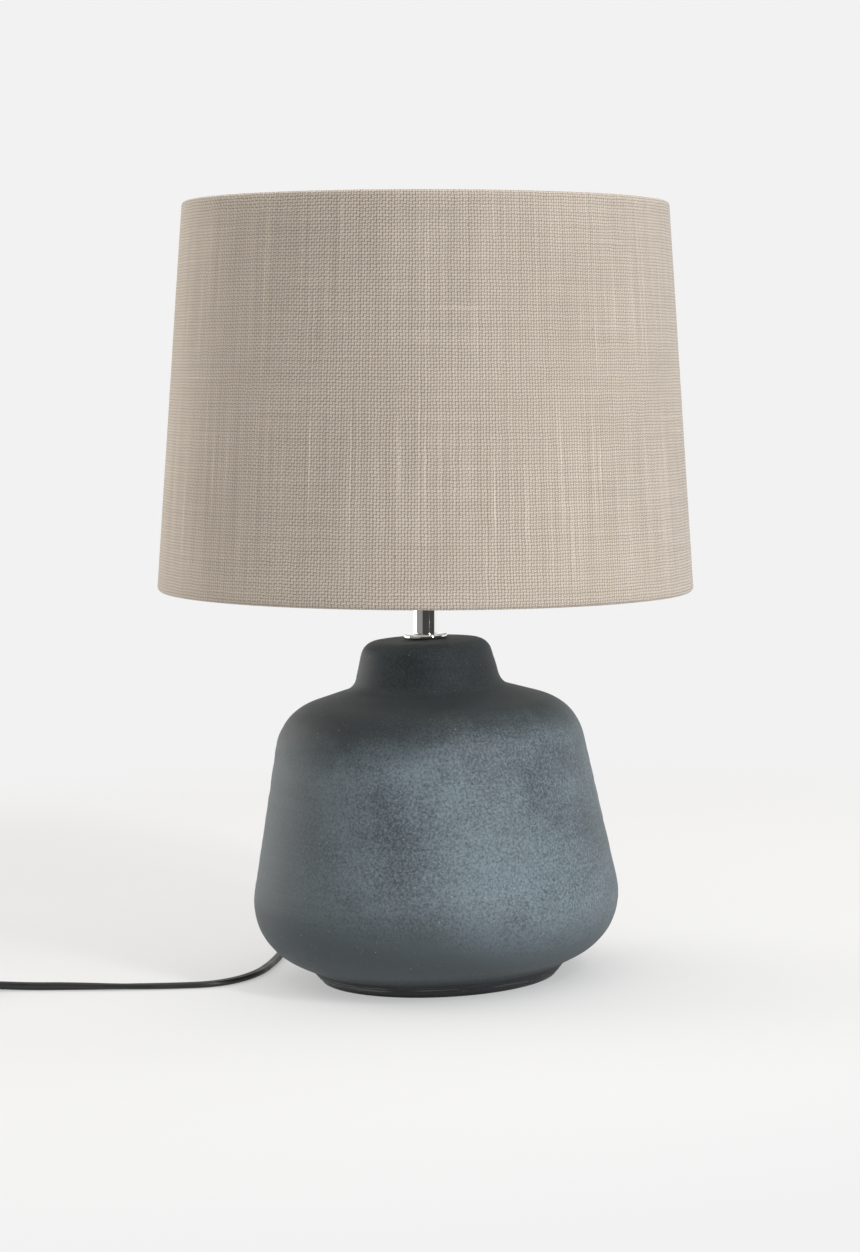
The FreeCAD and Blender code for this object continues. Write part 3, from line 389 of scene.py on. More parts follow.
def makeSlip():
    material, tree, shader = startMaterial("slateSlip", 0.5, **{"Specular IOR Level": 0.30})
    point = objectPoint(tree)
    split = addNode(tree, "ShaderNodeSeparateXYZ", {0: point})
    side, height = split.outputs[0], split.outputs[2]
    grain = useGroup(tree, surfaceGrain, {"Vector": point, "Coarse": 13.0, "Fine": 900.0})
    brush = useGroup(tree, brushedLines, {"Vector": point, "Across": 420.0, "Along": 14.0})
    clouds = cloudy(tree, point, slip["cloud size"], 5.0, 0.62)
    powder = cloudy(tree, point, slip["powder size"], 3.0, 0.75)
    mottle = calc(tree, "MULTIPLY_ADD", grain.outputs["Blotch"], 0.22, times(tree, clouds, 0.48))
    mottle = calc(tree, "MULTIPLY_ADD", powder, 1.75, mottle)
    mottle = calc(tree, "MULTIPLY_ADD", brush.outputs["Lines"], 0.16, mottle)
    # painted shade: less powder on the left side and low on the belly, so these parts read darker as if out
    # of the light
    thick = remap(tree, side, *slip["shaded side"])
    low = calc(tree, "ADD", height, remap(tree, side, *slip["shaded low side"]))
    thick = times(tree, thick, remap(tree, low, *slip["shaded belly"]))
    powderAndShade = times(tree, remap(tree, mottle, *slip["mottle span"]), thick)
    colour = mixColours(tree, powderAndShade, slip["slate"], slip["powder"])
    # painted shade: the dark neck band hangs lower at the left, away from the light
    shadeSagged = calc(tree, "ADD", height, remap(tree, side, *slip["neck shade sag"]))
    neck = remap(tree, calc(tree, "MULTIPLY_ADD", clouds, 0.028, shadeSagged), *slip["neck band"])
    colour = mixColours(tree, neck, colour, slip["dark"])
    wavyFoot = calc(tree, "MULTIPLY_ADD", brush.outputs["Lines"], 0.008, height)
    colour = mixColours(tree, remap(tree, wavyFoot, *slip["foot band"]), colour, slip["dark"])
    fromScuff = calc(tree, "ABSOLUTE", calc(tree, "SUBTRACT", height, slip["scuff height"]))
    scuffRing = remap(tree, fromScuff, *slip["scuff width"], 1.0, 0.0)
    broken = cloudy(tree, stretched(tree, point, (30.0, 30.0, 700.0)), 1.0, 3.0)
    scuffBreak = times(tree, remap(tree, broken, 0.50, 0.62), slip["scuff share"])
    colour = mixColours(tree, times(tree, scuffRing, scuffBreak), colour, slip["scuff"])
    specks = remap(tree, cloudy(tree, point, 1050.0, 1.0), *slip["speck span"])
    colour = mixColours(tree, specks, colour, slip["speck"])
    pits = remap(tree, cloudy(tree, point, 480.0, 1.0), *slip["pit span"])
    colour = mixColours(tree, pits, colour, slip["pit"])
    tree.links.new(colour, shader.inputs["Base Color"])
    tree.links.new(remap(tree, mottle, 0.7, 1.7, *slip["roughness"]), shader.inputs["Roughness"])
    relief = calc(tree, "MULTIPLY_ADD", brush.outputs["Lines"], 0.8, grain.outputs["Height"])
    bump(tree, shader, relief, slip["grain depth"], 0.6)
    return material


# name, colour, worn colour, roughness, blotch size, grain size, depth, specks and other sockets
mouldedSkins = {
    "felt": ("blackFelt", (0.012, 0.012, 0.013), (0.03, 0.03, 0.032), (0.9, 1.0),
        120.0, 2600.0, 0.0004, 0.5, {"Sheen Weight": 0.4}),
    "rubber": ("softRubber", (0.012, 0.012, 0.012), (0.022, 0.022, 0.022), (0.55, 0.72),
        60.0, 2500.0, 0.00003, 0.0, {}),
    "black_flex": ("flexSheath", (0.010, 0.010, 0.011), (0.018, 0.018, 0.019), (0.40, 0.55),
        45.0, 1800.0, 0.00003, 0.25, {}),
    "core_insulation": ("coreInsulation", (0.16, 0.05, 0.02), (0.12, 0.035, 0.015), (0.35, 0.5),
        80.0, 2000.0, 0.00002, 0.0, {}),
    "black_plastic": ("blackMoulding", (0.011, 0.011, 0.012), (0.019, 0.019, 0.020), (0.52, 0.66),
        55.0, 3200.0, 0.00006, 0.15, {"Specular IOR Level": 0.3}),
    "white_plastic": ("whiteMoulding", (0.78, 0.77, 0.74), (0.70, 0.68, 0.63), (0.30, 0.44),
        40.0, 2600.0, 0.00002, 0.0, {}),
    "black_insulator": ("blackInsulator", (0.014, 0.014, 0.014), (0.03, 0.028, 0.026), (0.25, 0.4),
        90.0, 2200.0, 0.00002, 0.0, {}),
    "porcelain": ("glazedPorcelain", (0.80, 0.79, 0.75), (0.72, 0.70, 0.64), (0.12, 0.22),
        60.0, 1400.0, 0.00002, 0.0, {"Coat Weight": 0.4}),
    "white_enamel": ("whiteEnamel", (0.80, 0.79, 0.76), (0.70, 0.68, 0.64), (0.28, 0.4),
        60.0, 1700.0, 0.00003, 0.0, {"Coat Weight": 0.3}),
    "styrene": ("styreneLiner", (0.84, 0.83, 0.79), (0.78, 0.76, 0.70), (0.42, 0.55),
        18.0, 1900.0, 0.00004, 0.0, {"Specular IOR Level": 0.4}),
    "frosted_glass": ("frostedEnvelope", (0.94, 0.94, 0.92), (0.90, 0.90, 0.87), (0.38, 0.46),
        30.0, 2400.0, 0.00002, 0.0, {"Transmission Weight": 0.55}),
}
metals = {  # name, colour, stain, roughness, lines across and along
    "polished_steel": ("polishedSteel", (0.88, 0.885, 0.89), (0.74, 0.75, 0.76), (0.035, 0.12), 4000.0, 60.0),
    "zinc_steel": ("zincSteel", (0.62, 0.63, 0.64), (0.42, 0.42, 0.41), (0.28, 0.45), 2500.0, 300.0),
    "brass": ("turnedBrass", (0.72, 0.52, 0.22), (0.46, 0.31, 0.12), (0.18, 0.34), 3000.0, 80.0),
    "nickel": ("nickelPlate", (0.70, 0.67, 0.61), (0.52, 0.49, 0.43), (0.14, 0.28), 3500.0, 90.0),
    "solder": ("softSolder", (0.55, 0.55, 0.54), (0.35, 0.35, 0.34), (0.3, 0.5), 900.0, 700.0),
    "plated_cap": ("platedCap", (0.78, 0.77, 0.73), (0.58, 0.56, 0.50), (0.16, 0.3), 2500.0, 70.0),
}
finishes = {"linen": makeLinen(), "stoneware": makeSlip()}
finishes.update({slot: mouldedFinish(*values[:-1], **values[-1]) for slot, values in mouldedSkins.items()})
finishes.update({slot: metalFinish(*values) for slot, values in metals.items()})
print("finishes made:", len(finishes))


def settle(piece, body, slotName, *replaced):
    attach(piece, body)
    if replaced:
        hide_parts(*replaced)
    return piece


studio = {"page white": 0.887, "floor white": 0.725, "floor middle": (-0.12, 0.22, 0.0), "floor size": 9.0,
          "floor blend": (0.40, 0.78, 0.45, 1.0), "floor end": (0.55, 1.15, 0.0, 1.0),
          "back": 1.0, "back left": 2.3, "left": 0.30, "front": 0.06, "overhead": 1.30,
          "behind from": (0.02, 0.20), "left from": (-0.53, -0.42), "back left from": (-0.75, -0.35),
          "overhead from": (0.50, 0.85), "room tint": (0.98, 0.96, 0.925),
          "key power": 26.4, "key tint": (0.97, 0.99, 1.02), "key size": (0.20, 1.70),
          "key place": (1.04, -1.29, 0.86), "key aim": (0, 0, 0.25)}


def makeFloor():
    mesh = bmesh.new()
    bmesh.ops.create_circle(mesh, cap_ends=True, segments=96, radius=studio["floor size"])
    floor = toObject("floor", mesh, bpy.data.materials.new("paperFloor"))
    material = floor.data.materials[0]
    material.use_nodes = True
    tree = material.node_tree
    tree.nodes.clear()
    point = objectPoint(tree)
    ends = {0: point, 1: studio["floor middle"]}
    away = addNode(tree, "ShaderNodeVectorMath", ends, operation="DISTANCE").outputs["Value"]
    paper = addNode(tree, "ShaderNodeBsdfDiffuse", {"Color": (*[studio["floor white"]] * 3, 1)})
    glow = addNode(tree, "ShaderNodeEmission", {"Color": (*[studio["page white"]] * 3, 1), "Strength": 1.0})
    share = remap(tree, away, *studio["floor blend"])
    mixed = mixShaders(tree, share, paper.outputs[0], glow.outputs[0])
    clear = addNode(tree, "ShaderNodeBsdfTransparent").outputs[0]
    gone = remap(tree, away, *studio["floor end"])
    bounced = mixShaders(tree, gone, mixed, clear)
    seen = addNode(tree, "ShaderNodeLightPath").outputs["Is Camera Ray"]
    shown = mixShaders(tree, seen, bounced, mixed)
    backSide = addNode(tree, "ShaderNodeNewGeometry").outputs["Backfacing"]
    addNode(tree, "ShaderNodeOutputMaterial", {0: mixShaders(tree, backSide, shown, clear)})
    if floor.data.polygons[0].normal.z < 0:
        floor.data.flip_normals()


def makeSurroundings():
    world = bpy.data.worlds.new("studio")
    world.use_nodes = True
    bpy.context.scene.world = world
    tree = world.node_tree
    tree.nodes.clear()
    skyPoint = addNode(tree, "ShaderNodeTexCoord").outputs["Generated"]
    way = addNode(tree, "ShaderNodeSeparateXYZ", {0: skyPoint})
    behind = remap(tree, way.outputs[1], *studio["behind from"])
    leftward = remap(tree, way.outputs[0], *studio["left from"], 1.0, 0.0)
    upward = remap(tree, way.outputs[2], *studio["overhead from"])
    level = calc(tree, "MULTIPLY_ADD", leftward, studio["left"] - studio["front"], studio["front"])
    level = calc(tree, "MULTIPLY_ADD", behind, calc(tree, "SUBTRACT", studio["back"], level), level)
    sideward = remap(tree, way.outputs[0], *studio["back left from"], 1.0, 0.0)
    sideBack = times(tree, behind, sideward)
    level = calc(tree, "MULTIPLY_ADD", sideBack, studio["back left"], level)
    level = calc(tree, "MULTIPLY_ADD", upward, calc(tree, "SUBTRACT", studio["overhead"], level), level)
    room = addNode(tree, "ShaderNodeBackground", {"Color": (*studio["room tint"], 1), "Strength": level})
    page = addNode(tree, "ShaderNodeBackground", {"Color": (*[studio["page white"]] * 3, 1), "Strength": 1.0})
    seen = addNode(tree, "ShaderNodeLightPath").outputs["Is Camera Ray"]
    addNode(tree, "ShaderNodeOutputWorld", {0: mixShaders(tree, seen, room.outputs[0], page.outputs[0])})


def makeKeyLight():
    data = bpy.data.lights.new("keyStrip", "AREA")
    data.shape = "RECTANGLE"
    data.size, data.size_y = studio["key size"]
    data.energy = studio["key power"]
    data.color = studio["key tint"]
    addObject("keyStrip", data).matrix_world = aimed(studio["key place"], studio["key aim"])


makeFloor()
makeSurroundings()
makeKeyLight()
bpy.context.scene.view_settings.view_transform = "Standard"
print("floor and light set")


# the flat two-core flex, from the pot through the switch to the plug
flex = {"width": 0.0052, "thickness": 0.0033, "length": 1.77, "sides": 24,
        "coil centre": (-0.3235, 0.057), "coil radii": (0.035, 0.0295, 0.024), "points a turn": 14,
        "low layer": 0.0023, "high layer": 0.0058,
        "twist": [(0, 0), (0.12, 0), (0.22, 12), (0.30, -8), (0.37, 5), (0.43, 52), (0.47, 62), (0.485, 60),
                  (0.53, 0), (2, 0)]}  # distance along it and degrees
leadRoute = [
    (0, 0.1127, 0.0128), (0, 0.1225, 0.0062), (0, 0.134, 0.0022), (0.001, 0.157, 0.0018),
    (-0.023, 0.184, 0.0018), (-0.060, 0.185, 0.0018), (-0.086, 0.160, 0.0018), (-0.088, 0.122, 0.0018),
    (-0.091, 0.084, 0.0018), (-0.095, 0.046, 0.0018), (-0.104, 0.006, 0.0018), (-0.124, -0.015, 0.0018),
    (-0.151, -0.015, 0.0018), (-0.186, -0.011, 0.0020), (-0.221, -0.0056, 0.0024), (-0.246, -0.001, 0.0028),
]
switchRoute = [(-0.2642, 0.0010, 0.0040), (-0.2834, 0.0032, 0.0040), (-0.3026, 0.0054, 0.0040),
               (-0.3218, 0.0076, 0.0040)]
linkRoute = [(-0.337, 0.0096, 0.0024), (-0.352, 0.020, 0.0018), (-0.3585, 0.037, 0.0018),
             (-0.3585, 0.050, 0.0018)]
tailRoute = [(-0.3585, 0.064, 0.0052), (-0.360, 0.078, 0.0030), (-0.359, 0.093, 0.0022),
             (-0.355, 0.107, 0.0043), (-0.351, 0.119, 0.0069)]


def stepped(value, stops, width):
    # rises by one at each stop, over the width
    total = 0.0
    for stop in stops:
        share = min(1.0, max(0.0, (value - stop) / width + 0.5))
        total += share * share * (3 - 2 * share)
    return total


def coilRoute():
    wide, middle, narrow = flex["coil radii"]
    gap = (wide - narrow) / 2
    points = []
    for step in range(1, 6 * flex["points a turn"] + 1):
        turn = step / flex["points a turn"]
        inward = stepped(turn, (1, 2), 0.2)
        outward = stepped(turn, (4, 5), 0.2)
        radius = wide - gap * inward + gap * outward
        angle = math.pi - 2 * math.pi * turn
        climb = stepped(turn, (3,), 0.3)
        height = flex["low layer"] + (flex["high layer"] - flex["low layer"]) * climb
        points.append((flex["coil centre"][0] + radius * math.cos(angle),
                       flex["coil centre"][1] + radius * math.sin(angle), height))
    return points


def twistAt(distance):
    for (start, low), (end, high) in zip(flex["twist"], flex["twist"][1:]):
        if distance <= end:
            share = (distance - start) / (end - start)
            return math.radians(low + (high - low) * share * share * (3 - 2 * share))
    return 0.0


def flexLine():
    route = leadRoute + switchRoute + linkRoute + coilRoute() + tailRoute
    curve = bpy.data.curves.new("flexRoute", "CURVE")
    curve.dimensions = "3D"
    curve.resolution_u = 10
    spline = curve.splines.new("NURBS")
    spline.points.add(len(route) - 1)
    for point, place in zip(spline.points, route):
        point.co = (*place, 1.0)
    spline.order_u = 3
    spline.use_endpoint_u = True
    holder = addObject("flexRoute", curve)
    line = [vertex.co.copy() for vertex in bakedMesh(holder).vertices]
    bpy.data.objects.remove(holder)
    kept = [line[0]]
    for point in line[1:]:
        if (point - kept[-1]).length > 0.0009:
            kept.append(point)
    return kept


def makeFlex():
    core = flex["thickness"] / 2
    apart = flex["width"] / 2 - core
    line = flexLine()
    mesh = bmesh.new()
    rings, path = [], []
    distance = 0.0
    for index, point in enumerate(line):
        before, after = line[max(0, index - 1)], line[min(len(line) - 1, index + 1)]
        distance += (point - before).length
        along = (after - before).normalized()
        turned = twistAt(distance)
        side = Vector((0, 0, 1)).cross(along).normalized()
        upright = along.cross(side)
        wide = side * math.cos(turned) + upright * math.sin(turned)
        thick = upright * math.cos(turned) - side * math.sin(turned)
        centre = point.copy()
        centre.z = max(centre.z, core + apart * abs(math.sin(turned)) + 0.0001)
        path.append(tuple(centre))
        ring = []
        for step in range(flex["sides"]):
            angle = 2 * math.pi * step / flex["sides"]
            reach = apart * abs(math.cos(angle)) + math.sqrt(core ** 2 - (apart * math.sin(angle)) ** 2)
            ring.append(mesh.verts.new(centre + (wide * math.cos(angle) + thick * math.sin(angle)) * reach))
        rings.append(ring)
    for first, second in zip(rings, rings[1:]):
        bridge(mesh, first, second)
    mesh.faces.new(rings[0])
    mesh.faces.new(list(reversed(rings[-1])))
    piece = toObject("flex", mesh, finishes["black_flex"], sharp=60)
    return piece, path


tie = {"place": (-0.294, 0.057), "width": 0.006, "thickness": 0.0005, "inside": (0.0171, 0.0071),
       "round": 0.0022}


def roundedLoop(width, height, rounding, perCorner=6):
    points = []
    for quarter, (signX, signY) in enumerate(((1, 1), (-1, 1), (-1, -1), (1, -1))):
        for step in range(perCorner + 1):
            angle = math.pi / 2 * (quarter + step / perCorner)
            points.append((signX * (width / 2 - rounding) + rounding * math.cos(angle),
                           signY * (height / 2 - rounding) + rounding * math.sin(angle)))
    return points


def makeTie():
    mesh = bmesh.new()
    inWidth, inHeight = tie["inside"]
    thick = tie["thickness"]
    inner = roundedLoop(inWidth, inHeight, tie["round"])
    outer = roundedLoop(inWidth + 2 * thick, inHeight + 2 * thick, tie["round"] + thick)
    loops = []
    for outline, side in ((outer, -1), (outer, 1), (inner, 1), (inner, -1)):
        loops.append([mesh.verts.new((tie["place"][0] + x, tie["place"][1] + side * tie["width"] / 2,
                                      inHeight / 2 + thick + 0.0001 + y)) for x, y in outline])
    for first, second in zip(loops, loops[1:] + loops[:1]):
        bridge(mesh, first, second)
    return settle(toObject("coil_strap", mesh, finishes["rubber"], sharp=50), "base", "rubber", "coil_tie")


flexPiece, flexPath = makeFlex()
settle(flexPiece, "base", "black_flex", "cord_lead", "cord_link", "cord_coil", "cord_tail")
coilStrap = makeTie()
print("flex laid,", len(flexPath), "points")


pot = {"foot": (0.0685, 0.0015), "foot join": (0.0726, 0.0075), "belly": (0.1072, 0.0252, 0.036),
       "shoulder": (0.0830, 0.1517, 0.030), "neck root": (0.0414, 0.1646, 0.009),
       "neck top": (0.0349, 0.1902, 0.009), "seat": (0.0135, 0.1910), "hole": 0.006,
       "inside": [(0.0279, 0.182, 0.003), (0.0344, 0.159, 0.008), (0.0760, 0.1460, 0.023),
                  (0.1000, 0.0290, 0.029), (0.0640, 0.0100, 0.004)],
       "foot opening": 0.052, "around": 288, "line spacing": 0.0021, "rings end": 0.1895,
       "rings inside": 0.03, "ring climb": 0.0011, "throwing depth": 0.00022, "out of round": 0.00035}


def throwingRings(angle, radius, height):
    # finger rings climb the wall in a slow spiral, and the pot is a little out of round
    top = pot["rings end"]
    if height > top or radius < pot["rings inside"]:
        return 0.0
    climb = height + pot["ring climb"] * angle / math.pi
    fade = min(1.0, max(0.0, (height - 0.002) / 0.01)) * min(1.0, max(0.0, (top - height) / 0.008))
    ridge = noise.noise(Vector((math.cos(angle) * 0.35, math.sin(angle) * 0.35, climb * 170)))
    ridge += 0.6 * noise.noise(Vector((math.cos(angle) * 0.6, math.sin(angle) * 0.6, climb * 420 + 7)))
    oval = pot["out of round"] * (math.sin(2 * angle + 0.8) + 0.6 * math.sin(3 * angle + 2.1))
    return fade * (pot["throwing depth"] * ridge + oval * radius / 0.1)


def makePot():
    footRadius, footHeight = pot["foot"]
    outside = outlineOf([
        (pot["foot opening"], footHeight, 0), (footRadius - 0.0012, footHeight, 0),
        (footRadius, footHeight + 0.0008, 0), (*pot["foot join"], 0.0012), pot["belly"], pot["shoulder"],
        pot["neck root"], pot["neck top"], (*pot["seat"], 0), (pot["hole"], pot["seat"][1], 0)],
        pot["line spacing"])
    inside = outlineOf([(pot["hole"], pot["inside"][0][1], 0), *pot["inside"],
                        (pot["foot opening"], 0.0060, 0)], 0.006)
    return turnPiece("pot_body", outside + inside, pot["around"], finishes["stoneware"],
                     swell=throwingRings, sharp=50)


settle(makePot(), "base", "stoneware", "pot")
print("pot thrown")


fitting = {"flange": (0.0123, 0.0020), "flange hole": 0.0055, "flange edge": 0.0004, "flange round": 0.0009,
           "stem": (0.0067, 0.0052, 0.028), "around": 96, "edge": 0.0005}


def makeFlange():
    radius, thickness = fitting["flange"]
    low = flangeTop - thickness
    hole, edge = fitting["flange hole"], fitting["flange edge"]
    outline = outlineOf([(hole, low, 0), (radius - edge, low, 0), (radius, low + edge, 0),
                         (radius, flangeTop, fitting["flange round"]), (hole, flangeTop + 0.00005, 0)], edge)
    piece = turnPiece("flange_disc", outline, fitting["around"], finishes["polished_steel"], sharp=30)
    settle(piece, "base", "polished_steel", "neck_flange")


def turnOnStem(name, outline, around, body, slotName, node, **settings):
    piece = turnPiece(name, outline, around, finishes[slotName], stemPlace, **settings)
    return settle(piece, body, slotName, node)


def makeStem():
    outer, bore, height = fitting["stem"]
    edge = fitting["edge"]
    outline = [(bore, edge), (bore + edge, 0), (outer - edge, 0), (outer, edge), (outer, height - edge),
               (outer - edge, height), (bore + edge, height), (bore, height - edge)]
    turnOnStem("stem_sleeve", outline, fitting["around"], "base", "polished_steel", "stem_tube", sharp=30)


def threadSwell(low, high, pitch, depth, inside=0.01):
    # a thread cut into a turned skin between two heights, outside the inside radius
    def swell(angle, radius, height):
        if height <= low or height >= high or radius <= inside:
            return 0.0
        fade = min(1.0, (height - low) / pitch, (high - height) / pitch)
        return -depth / 2 * fade * (1 - math.cos(2 * math.pi * (height / pitch - angle / (2 * math.pi))))
    return swell


holder = {
    "cap": [(0.0052, 0.0281, 0), (0.0085, 0.0281, 0.0006), (0.0085, 0.035, 0.002),
            (0.0195, 0.044, 0.003), (0.0195, 0.054, 0.0004), (0.0180, 0.054, 0.0004),
            (0.0180, 0.0446, 0.002), (0.0075, 0.0362, 0.001), (0.0052, 0.0362, 0)],
    "sleeve": [(0.0162, 0.047, 0), (0.0162, 0.0855, 0), (0.0167, 0.086, 0), (0.0193, 0.086, 0),
               (0.01975, 0.0855, 0), (0.01975, 0.066, 0), (0.0230, 0.066, 0.0006), (0.0230, 0.064, 0.0006),
               (0.01975, 0.064, 0), (0.01975, 0.0542, 0), (0.0179, 0.0541, 0), (0.0179, 0.046, 0),
               (0.014, 0.046, 0), (0.014, 0.047, 0)],
    "thread": (0.0665, 0.0852, 0.0026, 0.0007), "thread inside": 0.0194}  # from, to, pitch and depth


def makeHolder():
    cap, sleeve = outlineOf(holder["cap"], 0.0008), outlineOf(holder["sleeve"], 0.0004)
    turnOnStem("lampholder_cap", cap, fitting["around"], "base", "black_plastic", "holder_cap")
    turnOnStem("lampholder_sleeve", sleeve, fitting["around"], "base", "black_plastic", "holder_body",
               swell=threadSwell(*holder["thread"], holder["thread inside"]))


bulb = {"cap": (0.0130, 0.0120, 0.0639, 0.0839), "cap rows": 60,
        "cap thread": (0.0646, 0.0818, 0.0036, 0.0010),
        "collar": [(0.0118, 0.0840, 0), (0.0134, 0.0840, 0), (0.0157, 0.0885, 0.003),
                   (0.0157, 0.0929, 0.0005), (0.0135, 0.0929, 0), (0.0118, 0.0850, 0)],
        "glass middle": 0.1139, "glass half": 0.048, "glass cut": 0.021, "glass radius": 0.0175,
        "glass wall": 0.0009, "glass taper": 0.10, "glass rows": 48}


def makeBulbCap():
    outside, inside, low, high = bulb["cap"]
    rows = bulb["cap rows"]
    heights = [low + (high - low) * step / rows for step in range(rows + 1)]
    outline = [(outside, height) for height in heights] + [(inside, height) for height in reversed(heights)]
    turnOnStem("bulb_screw_cap", outline, 72, "bulb", "plated_cap", "bulb_cap",
               swell=threadSwell(*bulb["cap thread"]))


def makeGlass():
    middle, half = bulb["glass middle"], bulb["glass half"]
    radius, wall = bulb["glass radius"], bulb["glass wall"]
    start = math.asin(-bulb["glass cut"] / half)
    outer, lining = [], []
    for step in range(bulb["glass rows"] + 1):
        angle = start + (math.pi / 2 - start) * step / bulb["glass rows"]
        narrowing = 1 - bulb["glass taper"] * max(0.0, math.sin(angle)) ** 2 * math.cos(angle)
        spread = 0 if step == bulb["glass rows"] else narrowing * math.cos(angle)
        outer.append((radius * spread, middle + half * math.sin(angle)))
        inHalf = half - wall if angle > 0 else half
        lining.append(((radius - wall) * spread, middle + inHalf * math.sin(angle)))
    turnOnStem("bulb_envelope", outer + lining[::-1], 64, "bulb", "frosted_glass", "bulb_glass", sharp=60)


def makeBulb():
    makeBulbCap()
    collar = outlineOf(bulb["collar"], 0.0006)
    turnOnStem("bulb_housing", collar, 72, "bulb", "white_plastic", "bulb_collar")
    makeGlass()


makeFlange()
makeStem()
makeHolder()
makeBulb()
print("stem, lampholder and bulb turned")


# the ring that clamps the shade's carrier, with its grip ribs
gripRing = {
    "outline": [(0.0201, 0.0682, 0), (0.0280, 0.0682, 0), (0.0280, 0.0701, 0.0006), (0.0245, 0.0701, 0.0006),
                (0.0245, 0.0780, 0.0006), (0.0201, 0.0780, 0.0004), (0.0201, 0.0690, 0)],
    "ribs": 36, "rib size": (0.0012, 0.0011, 0.0066), "rib radius": 0.02445, "rib height": 0.0741}


def newGeometry(name, inputs):
    outputs = [("Geometry", "Geometry", None)]
    group, source, result = newGroup(name, "GeometryNodeTree", inputs, outputs)
    return group, source.outputs, result.inputs[0]


placing = [("Turn", "Rotation", None), ("Place", "Vector", None), ("Material", "Material", None)]


def placeAndPaint(group, given, result, geometry):
    placed = addNode(group, "GeometryNodeTransform", {
        "Geometry": geometry, "Rotation": given["Turn"], "Translation": given["Place"]})
    real = addNode(group, "GeometryNodeRealizeInstances", {0: placed.outputs[0]})
    painted = addNode(group, "GeometryNodeSetMaterial", {
        "Geometry": real.outputs[0], "Material": given["Material"]})
    group.links.new(painted.outputs[0], result)


def makeRibTree():
    # upright ribs spread round a circle, each facing outwards
    inputs = [("Count", "Int", 24), ("Radius", "Float", 0.02),
              ("Height", "Float", 0.0), ("Rib Size", "Vector", None)]
    group, given, result = newGeometry("gripRibs", inputs + placing)
    circle = {"Vertices": given["Count"], "Radius": given["Radius"]}
    rail = addNode(group, "GeometryNodeMeshCircle", circle).outputs[0]
    lift = addNode(group, "ShaderNodeCombineXYZ", {2: given["Height"]}).outputs[0]
    rail = addNode(group, "GeometryNodeTransform", {"Geometry": rail, "Translation": lift}).outputs[0]
    rib = addNode(group, "GeometryNodeMeshCube", {"Size": given["Rib Size"]}).outputs[0]
    spot = addNode(group, "GeometryNodeInputPosition").outputs[0]
    flat = addNode(group, "ShaderNodeVectorMath", {0: spot, 1: (1, 1, 0)}, operation="MULTIPLY").outputs[0]
    facing = addNode(group, "FunctionNodeAlignRotationToVector", {"Vector": flat}, axis="X", pivot_axis="Z")
    ribs = addNode(group, "GeometryNodeInstanceOnPoints", {
        "Points": rail, "Instance": rib, "Rotation": facing.outputs[0]})
    placeAndPaint(group, given, result, ribs.outputs[0])
    return group


ribTree = makeRibTree()


def makeGripRing():
    outline = outlineOf(gripRing["outline"], 0.0005)
    turnOnStem("clamp_ring", outline, fitting["around"], "shade_ring", "black_plastic", "shade_ring")
    sizes = {"Count": gripRing["ribs"], "Radius": gripRing["rib radius"], "Height": gripRing["rib height"],
             "Rib Size": gripRing["rib size"], **leaned}
    ribs = applyTree("clamp_ring_ribs", ribTree, sizes, finishes["black_plastic"])
    settle(ribs, "shade_ring", "black_plastic")


makeGripRing()


# the linen cover with its seam, and the carrier's flat ring
shade = {"low": 0.025, "high": 0.240, "low radius": 0.150, "top radius": 0.135, "wire": 0.0015,
         "cloth": 0.0008, "around": 360, "rows": 44, "hem rows": 14, "tuck": 128,
         "ripple": 0.00016, "ripple seed": 3.0, "mean radius": 0.1425, "flat size": (0.907, 0.244),
         "seam width": 0.013, "seam puff": 0.00060, "seam edge": 0.00012, "seam across": 8, "seam rows": 60,
         "carrier": [(0.02005, 0.06605, 0), (0.0320, 0.06605, 0.0005), (0.0320, 0.06805, 0.0005),
                     (0.02005, 0.06805, 0)]}


def makeHoopSkin():
    # a skin round the axis: its line runs straight by the two steps while it rolls round the roll radius
    inputs = [("Around", "Int", 360), ("Rows", "Int", 12)]
    inputs += floats("Radius", "Height", "Radius Step", "Height Step", "Roll", "Start", "Sweep", "Girth",
                     "Map Start", "Map Length")
    group, given, result = newGeometry("hoopSkin", inputs)
    grid = addNode(group, "GeometryNodeMeshGrid", {
        "Size X": 1.0, "Size Y": 1.0, "Vertices X": calc(group, "ADD", given["Around"], 1.0),
        "Vertices Y": calc(group, "ADD", given["Rows"], 1.0)})
    spot = addNode(group, "GeometryNodeInputPosition").outputs[0]
    split = addNode(group, "ShaderNodeSeparateXYZ", {0: spot})
    aroundShare = calc(group, "ADD", split.outputs[0], 0.5)
    up = calc(group, "ADD", split.outputs[1], 0.5)
    mapped = addNode(group, "ShaderNodeCombineXYZ", {
        0: times(group, aroundShare, given["Girth"]),
        1: calc(group, "MULTIPLY_ADD", up, given["Map Length"], given["Map Start"])})
    stored = addNode(group, "GeometryNodeStoreNamedAttribute", {
        "Geometry": grid.outputs["Mesh"], "Name": "UVMap"}, data_type="FLOAT2", domain="CORNER")
    group.links.new(mapped.outputs[0], stored.inputs["Value"])
    angle = times(group, aroundShare, 2 * math.pi)
    roll = calc(group, "MULTIPLY_ADD", up, given["Sweep"], given["Start"])
    radius = calc(group, "MULTIPLY_ADD", up, given["Radius Step"], given["Radius"])
    radius = calc(group, "MULTIPLY_ADD", calc(group, "COSINE", roll), given["Roll"], radius)
    height = calc(group, "MULTIPLY_ADD", up, given["Height Step"], given["Height"])
    height = calc(group, "MULTIPLY_ADD", calc(group, "SINE", roll), given["Roll"], height)
    place = addNode(group, "ShaderNodeCombineXYZ", {
        0: times(group, radius, calc(group, "COSINE", angle)),
        1: times(group, radius, calc(group, "SINE", angle)), 2: height})
    moved = addNode(group, "GeometryNodeSetPosition", {
        "Geometry": stored.outputs[0], "Position": place.outputs[0]})
    group.links.new(moved.outputs[0], result)
    return group


